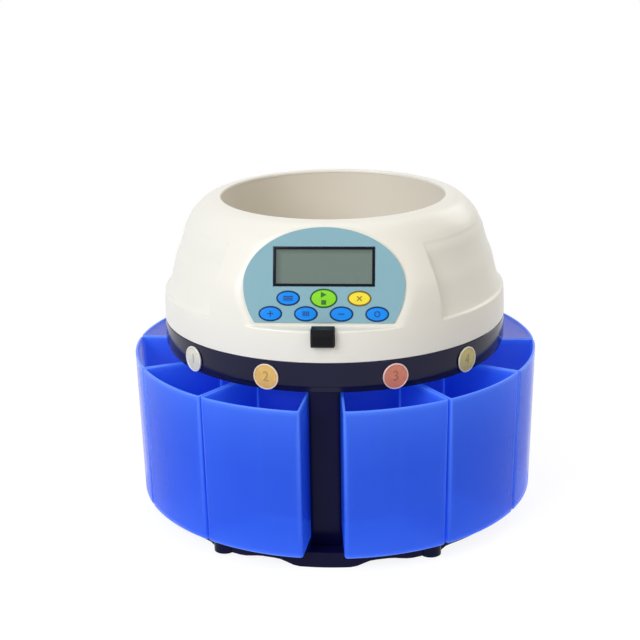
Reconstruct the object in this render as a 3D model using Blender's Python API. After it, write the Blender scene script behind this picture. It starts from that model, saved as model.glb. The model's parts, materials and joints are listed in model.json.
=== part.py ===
"""A desktop coin sorter with a hinged hopper lid and eight coin boxes.

Lengths are in metres, +Z is up and the keypad faces -Y. Everything is laid out round
the upright axis of the sorting rotor, and the machine stands on z = 0. Angles round
that axis are counted from the front, positive towards +X.
"""

import math

import bmesh
import bpy
from mathutils import Matrix

# Clearances that the whole machine shares
TOUCH_GAP = 0.0003
SLIDE_GAP = 0.0005
RUN_GAP = 0.001
OVERRUN = 0.004
SINK = 0.001

# How finely round shapes are drawn
ROUND_STEPS = 48
MIDDLE_STEPS = 22
SMALL_STEPS = 10
SMOOTH_ANGLE = math.radians(35.0)

# Coin boxes, which stand side by side round the drum
BOX_COUNT = 8
BOX_RADIUS = 0.1775
BOX_DRAFT = 0.0027
BOX_HEIGHT = 0.1286
BOX_WALL = 0.002
BOX_CORNER = 0.003
BOX_SEAM = 0.0012
BOX_SWEEP = math.radians(28.9)
BOX_TO_DRUM = 0.002
BOX_HEADROOM = 0.0051
FRONT_GAP = 0.0343

# Tray that the boxes and the housings stand on
TRAY_RADIUS = 0.1625
TRAY_LIFT = 0.0052
TRAY_HEIGHT = 0.0081
TRAY_PLATE = 0.0025
TRAY_RIM = 0.0025
TRAY_STEPS = 96
TRAY_REAR_LEDGE = 0.008
LOBE_FLAT = 0.021
LOBE_REACH = 0.041

# Rubber feet, each in a cup on the tray's rim, which dips round it
FOOT_RADIUS = 0.007
FOOT_TIP_RADIUS = 0.006
FOOT_CUP_RADIUS = 0.009
FOOT_DIP = 0.0034
FOOT_DIP_FLAT = 0.017
FOOT_DIP_REACH = 0.040
FOOT_ANGLES = [math.radians(turn) for turn in (-32.5, 32.5, -146.0, 146.0)]

# Drum, front column and rear housing
DRUM_RADIUS = 0.105
HOUSING_RADIUS = 0.147
HOUSING_WALL = 0.0025
HOUSING_SIDE_GAP = 0.0017
DECK_THICKNESS = 0.003
REAR_FLAT = 0.096
BOSS_RADIUS = 0.0045
BOSS_HEIGHT = 0.022
QUARTERS = [math.radians(turn) for turn in (45.0, 135.0, 225.0, 315.0)]

# Screws up through the tray
SCREW_RADIUS = 0.0017
SCREW_HEAD_RADIUS = 0.0035
SCREW_HEAD_HEIGHT = 0.002
SCREW_LENGTH = 0.012

# Pegs on which plates and boards are staked
PEG_RADIUS = 0.0014
PEG_REACH = 0.0012

# Drive under the deck
CHASSIS_RADIUS = 0.092
CHASSIS_THICKNESS = 0.002
CHASSIS_DROP = 0.026
PILLAR_MARGIN = 0.0035
RING_PEG_CIRCLE = 0.070
SHAFT_RADIUS = 0.005
BEARING_RADIUS = 0.011
BEARING_HEIGHT = 0.007
BEARING_FLANGE_RADIUS = 0.013
BEARING_FLANGE = 0.001
PULLEY_HEIGHT = 0.010
PULLEY_FLANGE = 0.001
PULLEY_FLANGE_RISE = 0.0015
PULLEY_HUB_RADIUS = 0.009
SHAFT_PULLEY_RADIUS = 0.035
MOTOR_PULLEY_RADIUS = 0.014
PULLEY_LIFT = 0.004
BELT_THICKNESS = 0.0015
MOTOR_RADIUS = 0.025
MOTOR_HEIGHT = 0.060
MOTOR_GEARBOX_RADIUS = 0.021
MOTOR_GEARBOX_HEIGHT = 0.018
MOTOR_OFFSET = 0.062
MOTOR_SHAFT_RADIUS = 0.003
MOTOR_SHAFT_REACH = 0.003
MOTOR_SHAFT_HOLE_RADIUS = 0.0055

# Exit ring under the lid
RING_RADIUS = 0.1495
RING_STEP = 0.002
RING_STEP_HEIGHT = 0.0051
RING_HEIGHT = 0.0253
RING_BORE_RADIUS = 0.145
RING_FLOOR = 0.0025
RING_LEDGE = 0.003
RING_LEDGE_DROP = 0.0069
HUB_WALL_RADIUS = 0.099
HUB_WALL = 0.0025
CHUTE_INNER_RADIUS = 0.112
CHUTE_OUTER_RADIUS = 0.140
CHUTE_SWEEP = math.radians(12.4)
PARTITION_WALL = 0.002

# Coin labels on the ring
LABEL_ANGLES = [math.radians(turn) for turn in (-47.8, -18.0, 22.4, 49.9)]
LABEL_RADIUS = 0.0109
LABEL_THICKNESS = 0.0012
LABEL_RISE = 0.0117

# Sorting plate, one hole for each size of coin
PLATE_THICKNESS = 0.0015
PLATE_INNER_RADIUS = 0.097
SORTING_CIRCLE = 0.128
SMALLEST_HOLE_RADIUS = 0.0084
LARGEST_HOLE_RADIUS = 0.0131

# Rotor over the plate and disc in the hopper
ROTOR_RADIUS = 0.095
ROTOR_THICKNESS = 0.0025
ROTOR_FIN_RADIUS = 0.1385
ROTOR_FIN_ROOT = 0.086
ROTOR_FIN_WIDTH = 0.004
ROTOR_FIN_HEIGHT = 0.004
ROTOR_FIN_COUNT = 12
DISC_RADIUS = 0.090
DISC_THICKNESS = 0.003
DISC_LIFT = 0.003
DISC_RIB_WIDTH = 0.005
DISC_RIB_RISE = 0.002
DISC_RIB_ROOT = 0.016
DISC_RIB_COUNT = 3
DISC_HUB_RADIUS = 0.012
KNOB_RADIUS = 0.0115
KNOB_HEIGHT = 0.011

# Sensor board round the hub wall
SENSOR_BOARD_OUTER = 0.1105
SENSOR_BOARD_THICKNESS = 0.0016
SENSOR_BOARD_LIFT = 0.008
SENSOR_STEP = 0.002
SENSOR_DEPTH = 0.006
SENSOR_WIDTH = 0.008
SENSOR_HEIGHT = 0.005
SENSOR_SETBACK = 0.0015

# Lid
LID_RADIUS = 0.1494
LID_HEIGHT = 0.1047
LID_WALL = 0.0025
MOUTH_RADIUS = 0.0973
LID_SHARES = [(1.0, 0.0), (0.992, 0.16), (0.973, 0.274), (0.935, 0.417), (0.858, 0.551),
              (0.705, 0.694), (0.551, 0.818), (0.455, 0.885), (0.305, 0.957), (0.17, 0.99), (0.0, 1.0)]
RECESS_SHARES = [(0.929, 0.265), (0.877, 0.322), (0.825, 0.417), (0.777, 0.513), (0.70, 0.608),
                 (0.652, 0.685), (0.614, 0.752), (0.55, 0.812)]
RECESS_FRONT_LOW = math.radians(40.0)
RECESS_FRONT_HIGH = math.radians(33.2)
RECESS_REAR = math.radians(142.0)
RECESS_STEPS = 13

# Keypad facet on the lid
FACET_SETBACK = 0.0154
FACET_TILT = math.radians(18.0)
FACET_WIDTH = 0.150
SHELF_HEIGHT_SHARE = 0.2703
PANEL_LIFT = 0.0004
PANEL_WIDTH = 0.1294
PANEL_HEIGHT = 0.0762
PANEL_WIDEST = 0.0305
PANEL_BOTTOM_WIDTH = 0.1112
PANEL_THICKNESS = 0.001

# Display
DISPLAY_WIDTH = 0.081
DISPLAY_HEIGHT = 0.0315
DISPLAY_CENTRE = 0.0448
DISPLAY_BORDER = 0.0022
MODULE_MARGIN = 0.0005
MODULE_DEPTH = 0.006

# Keys, in rows up the facet
KEY_WIDTH = 0.0185
KEY_HEIGHT = 0.0118
START_KEY_WIDTH = 0.0214
START_KEY_HEIGHT = 0.0149
KEY_PITCH = 0.0142
LOWER_ROW = 0.0071
UPPER_ROW = 0.0195
KEY_RISE = 0.0007
KEY_CROWN = 0.0004
KEY_FLANGE = 0.001
KEY_TRAVEL = 0.001
KEY_STEPS = 16
SWITCH_SIDE = 0.006

# Control board behind the facet
BOARD_WIDTH = 0.112
BOARD_HEIGHT = 0.0625
BOARD_THICKNESS = 0.0016
BOARD_LOW_EDGE = 0.001
BOARD_STUD_RADIUS = 0.003
BOARD_STUD_LOW = (0.0284, 0.005)
BOARD_STUD_HIGH = (0.050, 0.045)

# Hopper bowl
BOWL_WALL = 0.0022
BOWL_FOOT_RADIUS = 0.092
BOWL_FOOT_LIFT = 0.0015
BOWL_TAB_DROP = 0.013
BOWL_TAB_THICKNESS = 0.003
BOWL_TAB_RADIUS = 0.0045
BOWL_TAB_CIRCLE = 0.1065
BOWL_TAB_ANGLES = [math.radians(turn) for turn in (62.0, 180.0, 298.0)]

# Catch in the lid's front
LATCH_WIDTH = 0.0186
LATCH_HEIGHT = 0.0166
LATCH_FACE = 0.155
LATCH_DEPTH = 0.014
LATCH_TOP_RISE = 0.0024
LATCH_TOP_BEVEL = 0.0042
LATCH_TOP_BEVEL_DEPTH = 0.0035
LATCH_SIDE_BEVEL = 0.0018
LATCH_TRAVEL = 0.0025
LATCH_FLANGE = 0.002
LATCH_FLANGE_THICKNESS = 0.0015
LATCH_FLANGE_HEIGHT = 0.012
LATCH_ARM_WIDTH = 0.007
LATCH_ARM_THICKNESS = 0.002
LATCH_NOSE = 0.0005
LATCH_NOSE_HEIGHT = 0.002
STRIKE_WIDTH = 0.010
STRIKE_DEPTH = 0.0025

# Hinge at the lid's rear
HINGE_RADIUS = 0.004
HINGE_CLEARANCE = 0.0005
HINGE_PIN_RADIUS = 0.0015
HINGE_HOLE_RADIUS = 0.0018
HINGE_HALF_KNUCKLE = 0.0117
HINGE_LUG_WIDTH = 0.016
HINGE_STEPS = 12

# Sockets and switch in the rear wall
SOCKET_HEIGHT = 0.056
SOCKET_FLANGE = 0.002
SOCKET_LIP = 0.0015
INLET_WIDTH = 0.0275
INLET_HEIGHT = 0.020
INLET_DEPTH = 0.018
INLET_WALL = 0.0025
INLET_PLACE = -0.028
BLADE_WIDTH = 0.0016
BLADE_HEIGHT = 0.004
BLADE_PITCH = 0.007
DATA_WIDTH = 0.013
DATA_HEIGHT = 0.012
DATA_DEPTH = 0.012
DATA_PLACE = 0.030
ROCKER_WIDTH = 0.0115
ROCKER_HEIGHT = 0.0175
ROCKER_DEPTH = 0.007
ROCKER_TILT = math.radians(9.0)
ROCKER_WALL = 0.0018
POWER_BOARD_WIDTH = 0.070
POWER_BOARD_DEPTH = 0.022
POWER_BOARD_LIFT = 0.006
POWER_BOARD_INSET = 0.003
TRANSFORMER_WIDTH = 0.030
TRANSFORMER_DEPTH = 0.016
TRANSFORMER_HEIGHT = 0.018
CAPACITOR_RADIUS = 0.006
CAPACITOR_HEIGHT = 0.016
STANDOFF_RADIUS = 0.003

FULL_TURN = 2.0 * math.pi
HALF_TURN = math.pi
QUARTER_TURN = math.pi / 2.0

# Levels, from the table up
TRAY_TOP = TRAY_LIFT + TRAY_HEIGHT
PLATE_UNDERSIDE = TRAY_TOP - TRAY_PLATE
FOOT_CUP_BOTTOM = TRAY_LIFT - FOOT_DIP - TOUCH_GAP
FOOT_CUP_TOP = TRAY_TOP - SINK
FOOT_CUP_CEILING = PLATE_UNDERSIDE - SINK
STAND_LEVEL = TRAY_TOP + TOUCH_GAP
BOX_RIM = STAND_LEVEL + BOX_HEIGHT
RING_BOTTOM = BOX_RIM + BOX_HEADROOM
RING_TOP = RING_BOTTOM + RING_HEIGHT
DECK_TOP = RING_BOTTOM - TOUCH_GAP
DECK_UNDERSIDE = DECK_TOP - DECK_THICKNESS
CHASSIS_TOP = DECK_UNDERSIDE - CHASSIS_DROP
CHASSIS_UNDERSIDE = CHASSIS_TOP - CHASSIS_THICKNESS
RING_FLOOR_TOP = RING_BOTTOM + RING_FLOOR
RING_LEDGE_TOP = RING_TOP - RING_LEDGE_DROP
PLATE_BOTTOM = RING_LEDGE_TOP + TOUCH_GAP
PLATE_TOP = PLATE_BOTTOM + PLATE_THICKNESS
ROTOR_BOTTOM = PLATE_TOP + SLIDE_GAP
ROTOR_TOP = ROTOR_BOTTOM + ROTOR_THICKNESS
DISC_BOTTOM = ROTOR_BOTTOM + ROTOR_FIN_HEIGHT + DISC_LIFT
DISC_TOP = DISC_BOTTOM + DISC_THICKNESS
LID_BOTTOM = RING_TOP + TOUCH_GAP
LID_TOP = LID_BOTTOM + LID_HEIGHT
SHELF_LEVEL = LID_BOTTOM + SHELF_HEIGHT_SHARE * LID_HEIGHT
PANEL_BASE = SHELF_LEVEL + PANEL_LIFT
BOWL_TOP = LID_TOP - LID_WALL - 2.0 * TOUCH_GAP
BOWL_BOTTOM = DISC_TOP + DISC_RIB_RISE + BOWL_FOOT_LIFT
PULLEY_BOTTOM = CHASSIS_TOP + BEARING_FLANGE + PULLEY_LIFT
PULLEY_TOP = PULLEY_BOTTOM + PULLEY_HEIGHT
LABEL_LEVEL = RING_BOTTOM + LABEL_RISE
SENSOR_BOARD_BOTTOM = RING_FLOOR_TOP + SENSOR_BOARD_LIFT

# Levels measured outwards from the facet: the board's front face, the keys' undersides, the switches
BOARD_TOP = -LID_WALL - TOUCH_GAP - MODULE_DEPTH
KEY_UNDERSIDE = -LID_WALL - TOUCH_GAP - KEY_FLANGE
SWITCH_TOP = KEY_UNDERSIDE - KEY_TRAVEL - TOUCH_GAP

# Places round the axis
FRONT_EDGE_ANGLE = math.asin(FRONT_GAP / 2.0 / BOX_RADIUS)
BOX_PITCH = BOX_SWEEP + BOX_SEAM / BOX_RADIUS
BOX_INNER_RADIUS = DRUM_RADIUS + BOX_TO_DRUM
BOXES_PER_SIDE = BOX_COUNT // 2
REAR_EDGE_ANGLE = FRONT_EDGE_ANGLE + BOXES_PER_SIDE * BOX_PITCH
BOX_ANGLES = sorted(side * (FRONT_EDGE_ANGLE + BOX_SWEEP / 2.0 + place * BOX_PITCH)
                    for side in (-1.0, 1.0) for place in range(BOXES_PER_SIDE))
REAR_FLAT_DISTANCE = math.sqrt(HOUSING_RADIUS ** 2 - (REAR_FLAT / 2.0) ** 2)
TRAY_REAR_FLAT = REAR_FLAT_DISTANCE + TRAY_REAR_LEDGE
FOOT_CIRCLE = TRAY_RADIUS - TRAY_RIM
BOSS_CIRCLE = DRUM_RADIUS - BOSS_RADIUS - SINK
PILLAR_CIRCLE = CHASSIS_RADIUS - BOSS_RADIUS - PILLAR_MARGIN
FACET_DISTANCE = LID_RADIUS - FACET_SETBACK
HINGE_DISTANCE = RING_RADIUS + HINGE_CLEARANCE + HINGE_RADIUS
HINGE_LEVEL = RING_TOP
BEZEL_WIDTH = ROCKER_WIDTH + 2.0 * (ROCKER_WALL + SLIDE_GAP)
BEZEL_HEIGHT = ROCKER_HEIGHT + 2.0 * (ROCKER_WALL + RUN_GAP)
POWER_BOARD_BACK = REAR_FLAT_DISTANCE - HOUSING_WALL - POWER_BOARD_INSET
POWER_BOARD_FRONT = POWER_BOARD_BACK - POWER_BOARD_DEPTH
POWER_BOARD_ROWS = [POWER_BOARD_FRONT + STANDOFF_RADIUS, POWER_BOARD_BACK - STANDOFF_RADIUS]
FRONT_REACH = BOX_RADIUS * math.cos(FRONT_EDGE_ANGLE + math.asin(BOX_CORNER / (BOX_RADIUS - BOX_CORNER)))
REAR_REACH = HINGE_DISTANCE + HINGE_RADIUS


def polar(radius, angle, height):
    """A point at a radius and an angle from the front, at a height"""
    return (radius * math.sin(angle), -radius * math.cos(angle), height)


def arc(centre, radius, start, end, steps):
    """Points of an arc in a plane, from one angle to another, ends included"""
    return [(centre[0] + radius * math.cos(start + (end - start) * step / steps),
             centre[1] + radius * math.sin(start + (end - start) * step / steps))
            for step in range(steps + 1)]


def ellipse(width, height, steps):
    """Points of an ellipse about the origin"""
    turns = [FULL_TURN * step / steps for step in range(steps)]
    return [(width / 2.0 * math.cos(turn), height / 2.0 * math.sin(turn)) for turn in turns]


def rectangle(left, right, low, high):
    """The four corners of a rectangle"""
    return [(left, low), (right, low), (right, high), (left, high)]


def at_height(outline, height):
    """An outline in the plane lifted to one height"""
    return [(across, along, height) for across, along in outline]


def tidy(bm):
    """Merge doubles and turn the faces outwards"""
    bmesh.ops.remove_doubles(bm, verts=bm.verts, dist=TOUCH_GAP / 1000.0)
    bmesh.ops.recalc_face_normals(bm, faces=bm.faces)
    return bm


def lofted(rings):
    """A closed body through rings of equally many points, capped at both ends"""
    bm = bmesh.new()
    loops = [[bm.verts.new(point) for point in ring] for ring in rings]
    for lower, upper in zip(loops, loops[1:]):
        for here in range(len(lower)):
            after = (here + 1) % len(lower)
            bm.faces.new((lower[here], lower[after], upper[after], upper[here]))
    bm.faces.new(loops[0])
    bm.faces.new(loops[-1])
    return tidy(bm)


def prism(outline, low, high):
    """An outline in the XY plane carried from one height to another"""
    return lofted([at_height(outline, low), at_height(outline, high)])


def block(left, right, front, back, low, high):
    """A box between two corners"""
    return prism(rectangle(left, right, front, back), low, high)


def across_prism(outline, left, right):
    """An outline of (y, z) points carried along X"""
    return lofted([[(end, along, up) for along, up in outline] for end in (left, right)])


def turned(outline, steps=ROUND_STEPS):
    """An outline of (radius, height) points spun about the upright axis"""
    bm = bmesh.new()
    corners = [bm.verts.new(polar(radius, 0.0, height)) for radius, height in outline]
    edges = [bm.edges.new(pair) for pair in zip(corners, corners[1:])]
    if outline[0][0] > 0.0:
        edges.append(bm.edges.new((corners[-1], corners[0])))
    bmesh.ops.spin(bm, geom=corners + edges, axis=(0.0, 0.0, 1.0), cent=(0.0, 0.0, 0.0),
                   angle=FULL_TURN, steps=steps, use_merge=True)
    return tidy(bm)


def rod(radius, low, high, steps=SMALL_STEPS):
    """An upright cylinder on the axis"""
    return prism(arc((0.0, 0.0), radius, 0.0, FULL_TURN, steps)[:-1], low, high)


def ring(inner, outer, low, high, steps=MIDDLE_STEPS):
    """An upright tube on the axis"""
    return turned([(inner, low), (outer, low), (outer, high), (inner, high)], steps)


def moved(bm, across=0.0, along=0.0, up=0.0):
    """Shift a mesh"""
    bmesh.ops.translate(bm, verts=bm.verts, vec=(across, along, up))
    return bm


def swung(bm, angle, axis="Z"):
    """Turn a mesh about an axis of the world"""
    bmesh.ops.rotate(bm, verts=bm.verts, cent=(0.0, 0.0, 0.0), matrix=Matrix.Rotation(angle, 3, axis))
    return bm


def together(*meshes):
    """Several separate bodies in one mesh"""
    whole = bmesh.new()
    for bm in meshes:
        part = bpy.data.meshes.new("part")
        bm.to_mesh(part)
        bm.free()
        whole.from_mesh(part)
        bpy.data.meshes.remove(part)
    return whole


def empty(name, parent=None, location=(0.0, 0.0, 0.0), tilt=0.0, turn=0.0):
    """A frame that pieces are placed in"""
    frame = bpy.data.objects.new(name, None)
    bpy.context.scene.collection.objects.link(frame)
    frame.parent = parent
    frame.location = location
    frame.rotation_euler = (tilt, 0.0, turn)
    return frame


def material(name, colour, roughness, metallic=0.0, alpha=1.0):
    """A plain finish"""
    finish = bpy.data.materials.new(name)
    finish.use_nodes = True
    shader = finish.node_tree.nodes["Principled BSDF"]
    shader.inputs["Base Color"].default_value = (*colour, 1.0)
    shader.inputs["Roughness"].default_value = roughness
    shader.inputs["Metallic"].default_value = metallic
    shader.inputs["Alpha"].default_value = alpha
    return finish


def linked(name, bm, parent):
    """An object made from a mesh and placed in a frame"""
    mesh = bpy.data.meshes.new(name)
    bm.to_mesh(mesh)
    bm.free()
    body = bpy.data.objects.new(name, mesh)
    bpy.context.scene.collection.objects.link(body)
    body.parent = parent
    return body


def piece(name, bm, finish, parent):
    """One sub-part of the machine, shaded smooth between its sharp edges"""
    body = linked(name, bm, parent)
    body.data.shade_smooth()
    body.data.set_sharp_from_angle(angle=SMOOTH_ANGLE)
    body.data.materials.append(finish)
    return body


def tool(name, bm, parent):
    """A hidden body that cuts or joins another"""
    body = linked(name, bm, parent)
    body.hide_render = True
    body.display_type = "WIRE"
    return body


def combine(body, other, operation):
    """Cut a tool from a body, or join it on"""
    step = body.modifiers.new(operation.lower() + "_" + other.name, "BOOLEAN")
    step.operation = operation
    step.object = other
    step.solver = "EXACT"


CREAM = material("cream_plastic", (0.88, 0.87, 0.82), 0.35)
BOWL_CREAM = material("bowl_plastic", (0.80, 0.77, 0.71), 0.4)
BLACK = material("black_plastic", (0.012, 0.010, 0.022), 0.25)
BLUE = material("blue_translucent_plastic", (0.02, 0.14, 0.85), 0.15, alpha=0.7)
TEAL = material("teal_overlay", (0.24, 0.45, 0.53), 0.4)
DISPLAY = material("display_glass", (0.12, 0.17, 0.15), 0.15)
MODULE = material("display_module", (0.10, 0.14, 0.12), 0.4)
KEY_BLUE = material("blue_key", (0.02, 0.27, 0.92), 0.3)
KEY_GREEN = material("green_key", (0.25, 0.70, 0.03), 0.3)
KEY_YELLOW = material("yellow_key", (0.95, 0.75, 0.04), 0.3)
LATCH_BLACK = material("latch_plastic", (0.01, 0.01, 0.015), 0.3)
RUBBER = material("black_rubber", (0.012, 0.012, 0.014), 0.8)
STEEL = material("steel", (0.55, 0.56, 0.58), 0.3, metallic=1.0)
ZINC = material("zinc_screws", (0.5, 0.5, 0.52), 0.35, metallic=1.0)
BRONZE = material("bronze_bushes", (0.45, 0.28, 0.12), 0.4, metallic=1.0)
WHITE_PLASTIC = material("white_plastic", (0.75, 0.75, 0.73), 0.45)
BOARD_GREEN = material("circuit_board", (0.02, 0.16, 0.06), 0.5)
SENSOR_BLACK = material("sensor_plastic", (0.02, 0.02, 0.02), 0.4)
MOTOR_GREY = material("motor_case", (0.32, 0.33, 0.35), 0.4, metallic=0.8)
LABEL_FINISHES = {
    "silver": material("silver_label", (0.75, 0.74, 0.68), 0.3, metallic=0.7),
    "gold": material("gold_label", (0.80, 0.58, 0.18), 0.3, metallic=0.7),
    "copper": material("copper_label", (0.72, 0.32, 0.22), 0.3, metallic=0.7),
    "brass": material("brass_label", (0.62, 0.50, 0.14), 0.3, metallic=0.7),
}
LABEL_METALS = ["silver", "gold", "copper", "brass"]


def fillet(centre_radius, centre_shift, edge_angle, first, last, corner, steps):
    """Corner of a sector: its centre lies on a circle, a shift inside the side at an angle"""
    centre_angle = edge_angle - math.asin((centre_shift + corner) / centre_radius)
    centre = polar(centre_radius, centre_angle, 0.0)
    turns = [first(centre_angle) + (last(centre_angle) - first(centre_angle)) * step / steps
             for step in range(steps + 1)]
    return [(centre[0] + polar(corner, turn, 0.0)[0], centre[1] + polar(corner, turn, 0.0)[1])
            for turn in turns]


def half_sector(inner, outer, edge_angle, inset, corner, steps):
    """The +X half of a rounded sector's outline, from its outer arc to its inner arc"""
    side_normal = edge_angle + QUARTER_TURN
    outer_corner = fillet(outer - corner, inset, edge_angle,
                          lambda angle: angle, lambda angle: side_normal, corner, steps)
    inner_corner = fillet(inner + corner, inset, edge_angle,
                          lambda angle: side_normal, lambda angle: angle + HALF_TURN, corner, steps)
    return outer_corner, inner_corner


def sector_outline(inner, outer, sweep, inset, corner, steps=5, corner_steps=2):
    """A sector about the front direction, with rounded corners and walls set in by an inset"""
    edge = sweep / 2.0
    outer_corner, inner_corner = half_sector(inner + inset, outer - inset, edge, inset, corner, corner_steps)
    right = outer_corner + inner_corner
    left = [(-across, along) for across, along in reversed(right)]
    outer_edge = math.atan2(outer_corner[0][0], -outer_corner[0][1])
    inner_edge = math.atan2(inner_corner[-1][0], -inner_corner[-1][1])
    inner_arc = [polar(inner + inset, inner_edge * (1.0 - 2.0 * step / steps), 0.0)[:2]
                 for step in range(1, steps)]
    outer_arc = [polar(outer - inset, -outer_edge * (1.0 - 2.0 * step / steps), 0.0)[:2]
                 for step in range(1, steps)]
    return right + inner_arc + left + outer_arc


def coin_box_mesh():
    """An open box with drafted walls, its top rim level and its floor one wall thick"""
    def ring_at(inset, height):
        draft = BOX_DRAFT * (BOX_RIM - height) / BOX_HEIGHT
        corner = max(BOX_CORNER - inset, BOX_CORNER / 2.0)
        shape = sector_outline(BOX_INNER_RADIUS, BOX_RADIUS - draft, BOX_SWEEP, inset, corner)
        return at_height(shape, height)

    return lofted([ring_at(0.0, STAND_LEVEL), ring_at(0.0, BOX_RIM),
                   ring_at(BOX_WALL, BOX_RIM), ring_at(BOX_WALL, STAND_LEVEL + BOX_WALL)])


def make_coin_boxes(axis):
    """Eight boxes, each turned to its place"""
    for number, angle in enumerate(BOX_ANGLES, 1):
        box = piece(f"coin_box_{number}", coin_box_mesh(), BLUE, axis)
        box.rotation_euler.z = angle


def stud(radius, root, end, tip):
    """A round post from its root to its end, with a staking peg on to its tip"""
    return turned([(0.0, tip), (PEG_RADIUS, tip), (PEG_RADIUS, end), (radius, end), (radius, root),
                   (0.0, root)], SMALL_STEPS)


def around(make, radius, angles, height=0.0):
    """One copy of a mesh at each angle of a circle"""
    return together(*[moved(make(), *polar(radius, angle, height)) for angle in angles])


def dip(distance, flat, reach):
    """How full a dip is at a distance from its middle: 1 on its flat, fading to 0 at its reach"""
    share = min(max((distance - flat) / (reach - flat), 0.0), 1.0)
    return (1.0 + math.cos(HALF_TURN * share)) / 2.0


def rim_drop(across, along):
    """How far the tray's rim reaches down at a place: to the table in front, part way at each foot"""
    drops = [TRAY_LIFT * dip(math.hypot(across, along + TRAY_RADIUS), LOBE_FLAT, LOBE_REACH)]
    for angle in FOOT_ANGLES:
        foot_across, foot_along, height = polar(FOOT_CIRCLE, angle, 0.0)
        away = math.hypot(across - foot_across, along - foot_along)
        drops.append(FOOT_DIP * dip(away, FOOT_DIP_FLAT, FOOT_DIP_REACH))
    return max(drops)


def make_tray(axis):
    """The tray: a plate with a rim turned down, flat at the rear, and a cup for each foot"""
    rim_inner = TRAY_RADIUS - TRAY_RIM
    bm = turned([(0.0, PLATE_UNDERSIDE), (rim_inner, PLATE_UNDERSIDE), (rim_inner, TRAY_LIFT),
                 (TRAY_RADIUS, TRAY_LIFT), (TRAY_RADIUS, TRAY_TOP), (0.0, TRAY_TOP)], TRAY_STEPS)
    for vertex in bm.verts:
        outermost = vertex.co.xy.length > TRAY_RADIUS - TRAY_RIM / 2.0
        vertex.co.y = min(vertex.co.y, TRAY_REAR_FLAT if outermost else TRAY_REAR_FLAT - TRAY_RIM)
        if vertex.co.z < TRAY_LIFT + TOUCH_GAP:
            vertex.co.z -= rim_drop(vertex.co.x, vertex.co.y)
    tray = piece("base_tray", bm, BLACK, axis)
    standoffs = together(*[moved(rod(STANDOFF_RADIUS, PLATE_UNDERSIDE + SINK, TRAY_TOP + POWER_BOARD_LIFT),
                                 side * (POWER_BOARD_WIDTH / 2.0 - STANDOFF_RADIUS), place)
                           for side in (-1.0, 1.0) for place in POWER_BOARD_ROWS])
    combine(tray, tool("tray_standoffs", standoffs, axis), "UNION")
    cups = around(lambda: rod(FOOT_CUP_RADIUS, FOOT_CUP_BOTTOM, FOOT_CUP_TOP, MIDDLE_STEPS),
                  FOOT_CIRCLE, FOOT_ANGLES)
    combine(tray, tool("foot_cups", cups, axis), "UNION")
    holes = around(lambda: rod(SCREW_RADIUS + TOUCH_GAP, PLATE_UNDERSIDE - OVERRUN, TRAY_TOP + OVERRUN),
                   BOSS_CIRCLE, QUARTERS)
    seats = around(lambda: rod(FOOT_RADIUS + TOUCH_GAP, -OVERRUN, FOOT_CUP_CEILING, MIDDLE_STEPS),
                   FOOT_CIRCLE, FOOT_ANGLES)
    combine(tray, tool("tray_holes", together(holes, seats), axis), "DIFFERENCE")


def make_screws(axis):
    """Four screws up through the tray, each head under the plate"""
    head = [(0.0, -SCREW_HEAD_HEIGHT), (SCREW_HEAD_RADIUS, -SCREW_HEAD_HEIGHT), (SCREW_HEAD_RADIUS, 0.0)]
    outline = head + [(SCREW_RADIUS, 0.0), (SCREW_RADIUS, SCREW_LENGTH), (0.0, SCREW_LENGTH)]
    for number, angle in enumerate(QUARTERS, 1):
        screw = piece(f"base_screw_{number}", turned(outline, SMALL_STEPS), ZINC, axis)
        screw.location = polar(BOSS_CIRCLE, angle, PLATE_UNDERSIDE - TOUCH_GAP)


def make_feet(axis):
    """Four rubber feet in the tray's cups"""
    top = FOOT_CUP_CEILING - TOUCH_GAP
    outline = [(0.0, 0.0), (FOOT_TIP_RADIUS, 0.0), (FOOT_RADIUS, FOOT_CUP_BOTTOM), (FOOT_RADIUS, top),
               (0.0, top)]
    for number, angle in enumerate(FOOT_ANGLES, 1):
        foot = piece(f"rubber_foot_{number}", turned(outline, MIDDLE_STEPS), RUBBER, axis)
        foot.location = polar(FOOT_CIRCLE, angle, 0.0)


def column_outline(inset, inner):
    """The front wedge between the two front boxes, in from its skin by an inset"""
    side = HOUSING_SIDE_GAP + inset
    rows = []
    for radius in (HOUSING_RADIUS - inset, inner):
        edge = FRONT_EDGE_ANGLE - math.asin(side / radius)
        rows.append([polar(radius, edge * share, 0.0)[:2] for share in (1.0, 0.0, -1.0)])
    return rows[0] + rows[1][::-1]


def housing_outline(inset, inner):
    """The sector behind the boxes, flat at the rear, in from its skin by an inset"""
    side = HOUSING_SIDE_GAP + inset
    outer = HOUSING_RADIUS - inset
    rearmost = REAR_EDGE_ANGLE - BOX_SEAM / BOX_RADIUS
    outer_edge = rearmost + math.asin(side / outer)
    inner_edge = rearmost + math.asin(side / inner)
    flat_edge = HALF_TURN - math.acos((REAR_FLAT_DISTANCE - inset) / outer)
    steps = 5
    right = [polar(outer, outer_edge + (flat_edge - outer_edge) * step / steps, 0.0)[:2]
             for step in range(steps + 1)]
    left = [(-across, along) for across, along in reversed(right)]
    span = HALF_TURN - inner_edge
    inner_arc = [polar(inner, HALF_TURN + span * (steps - step) / steps, 0.0)[:2]
                 for step in range(2 * steps + 1)]
    return right + left + inner_arc


def socket_cut(width, height, place):
    """An opening in the rear wall for a socket of a size"""
    half_width = width / 2.0 + TOUCH_GAP
    half_height = height / 2.0 + TOUCH_GAP
    return block(place - half_width, place + half_width,
                 REAR_FLAT_DISTANCE - HOUSING_WALL - OVERRUN, REAR_FLAT_DISTANCE + OVERRUN,
                 SOCKET_HEIGHT - half_height, SOCKET_HEIGHT + half_height)


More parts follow.
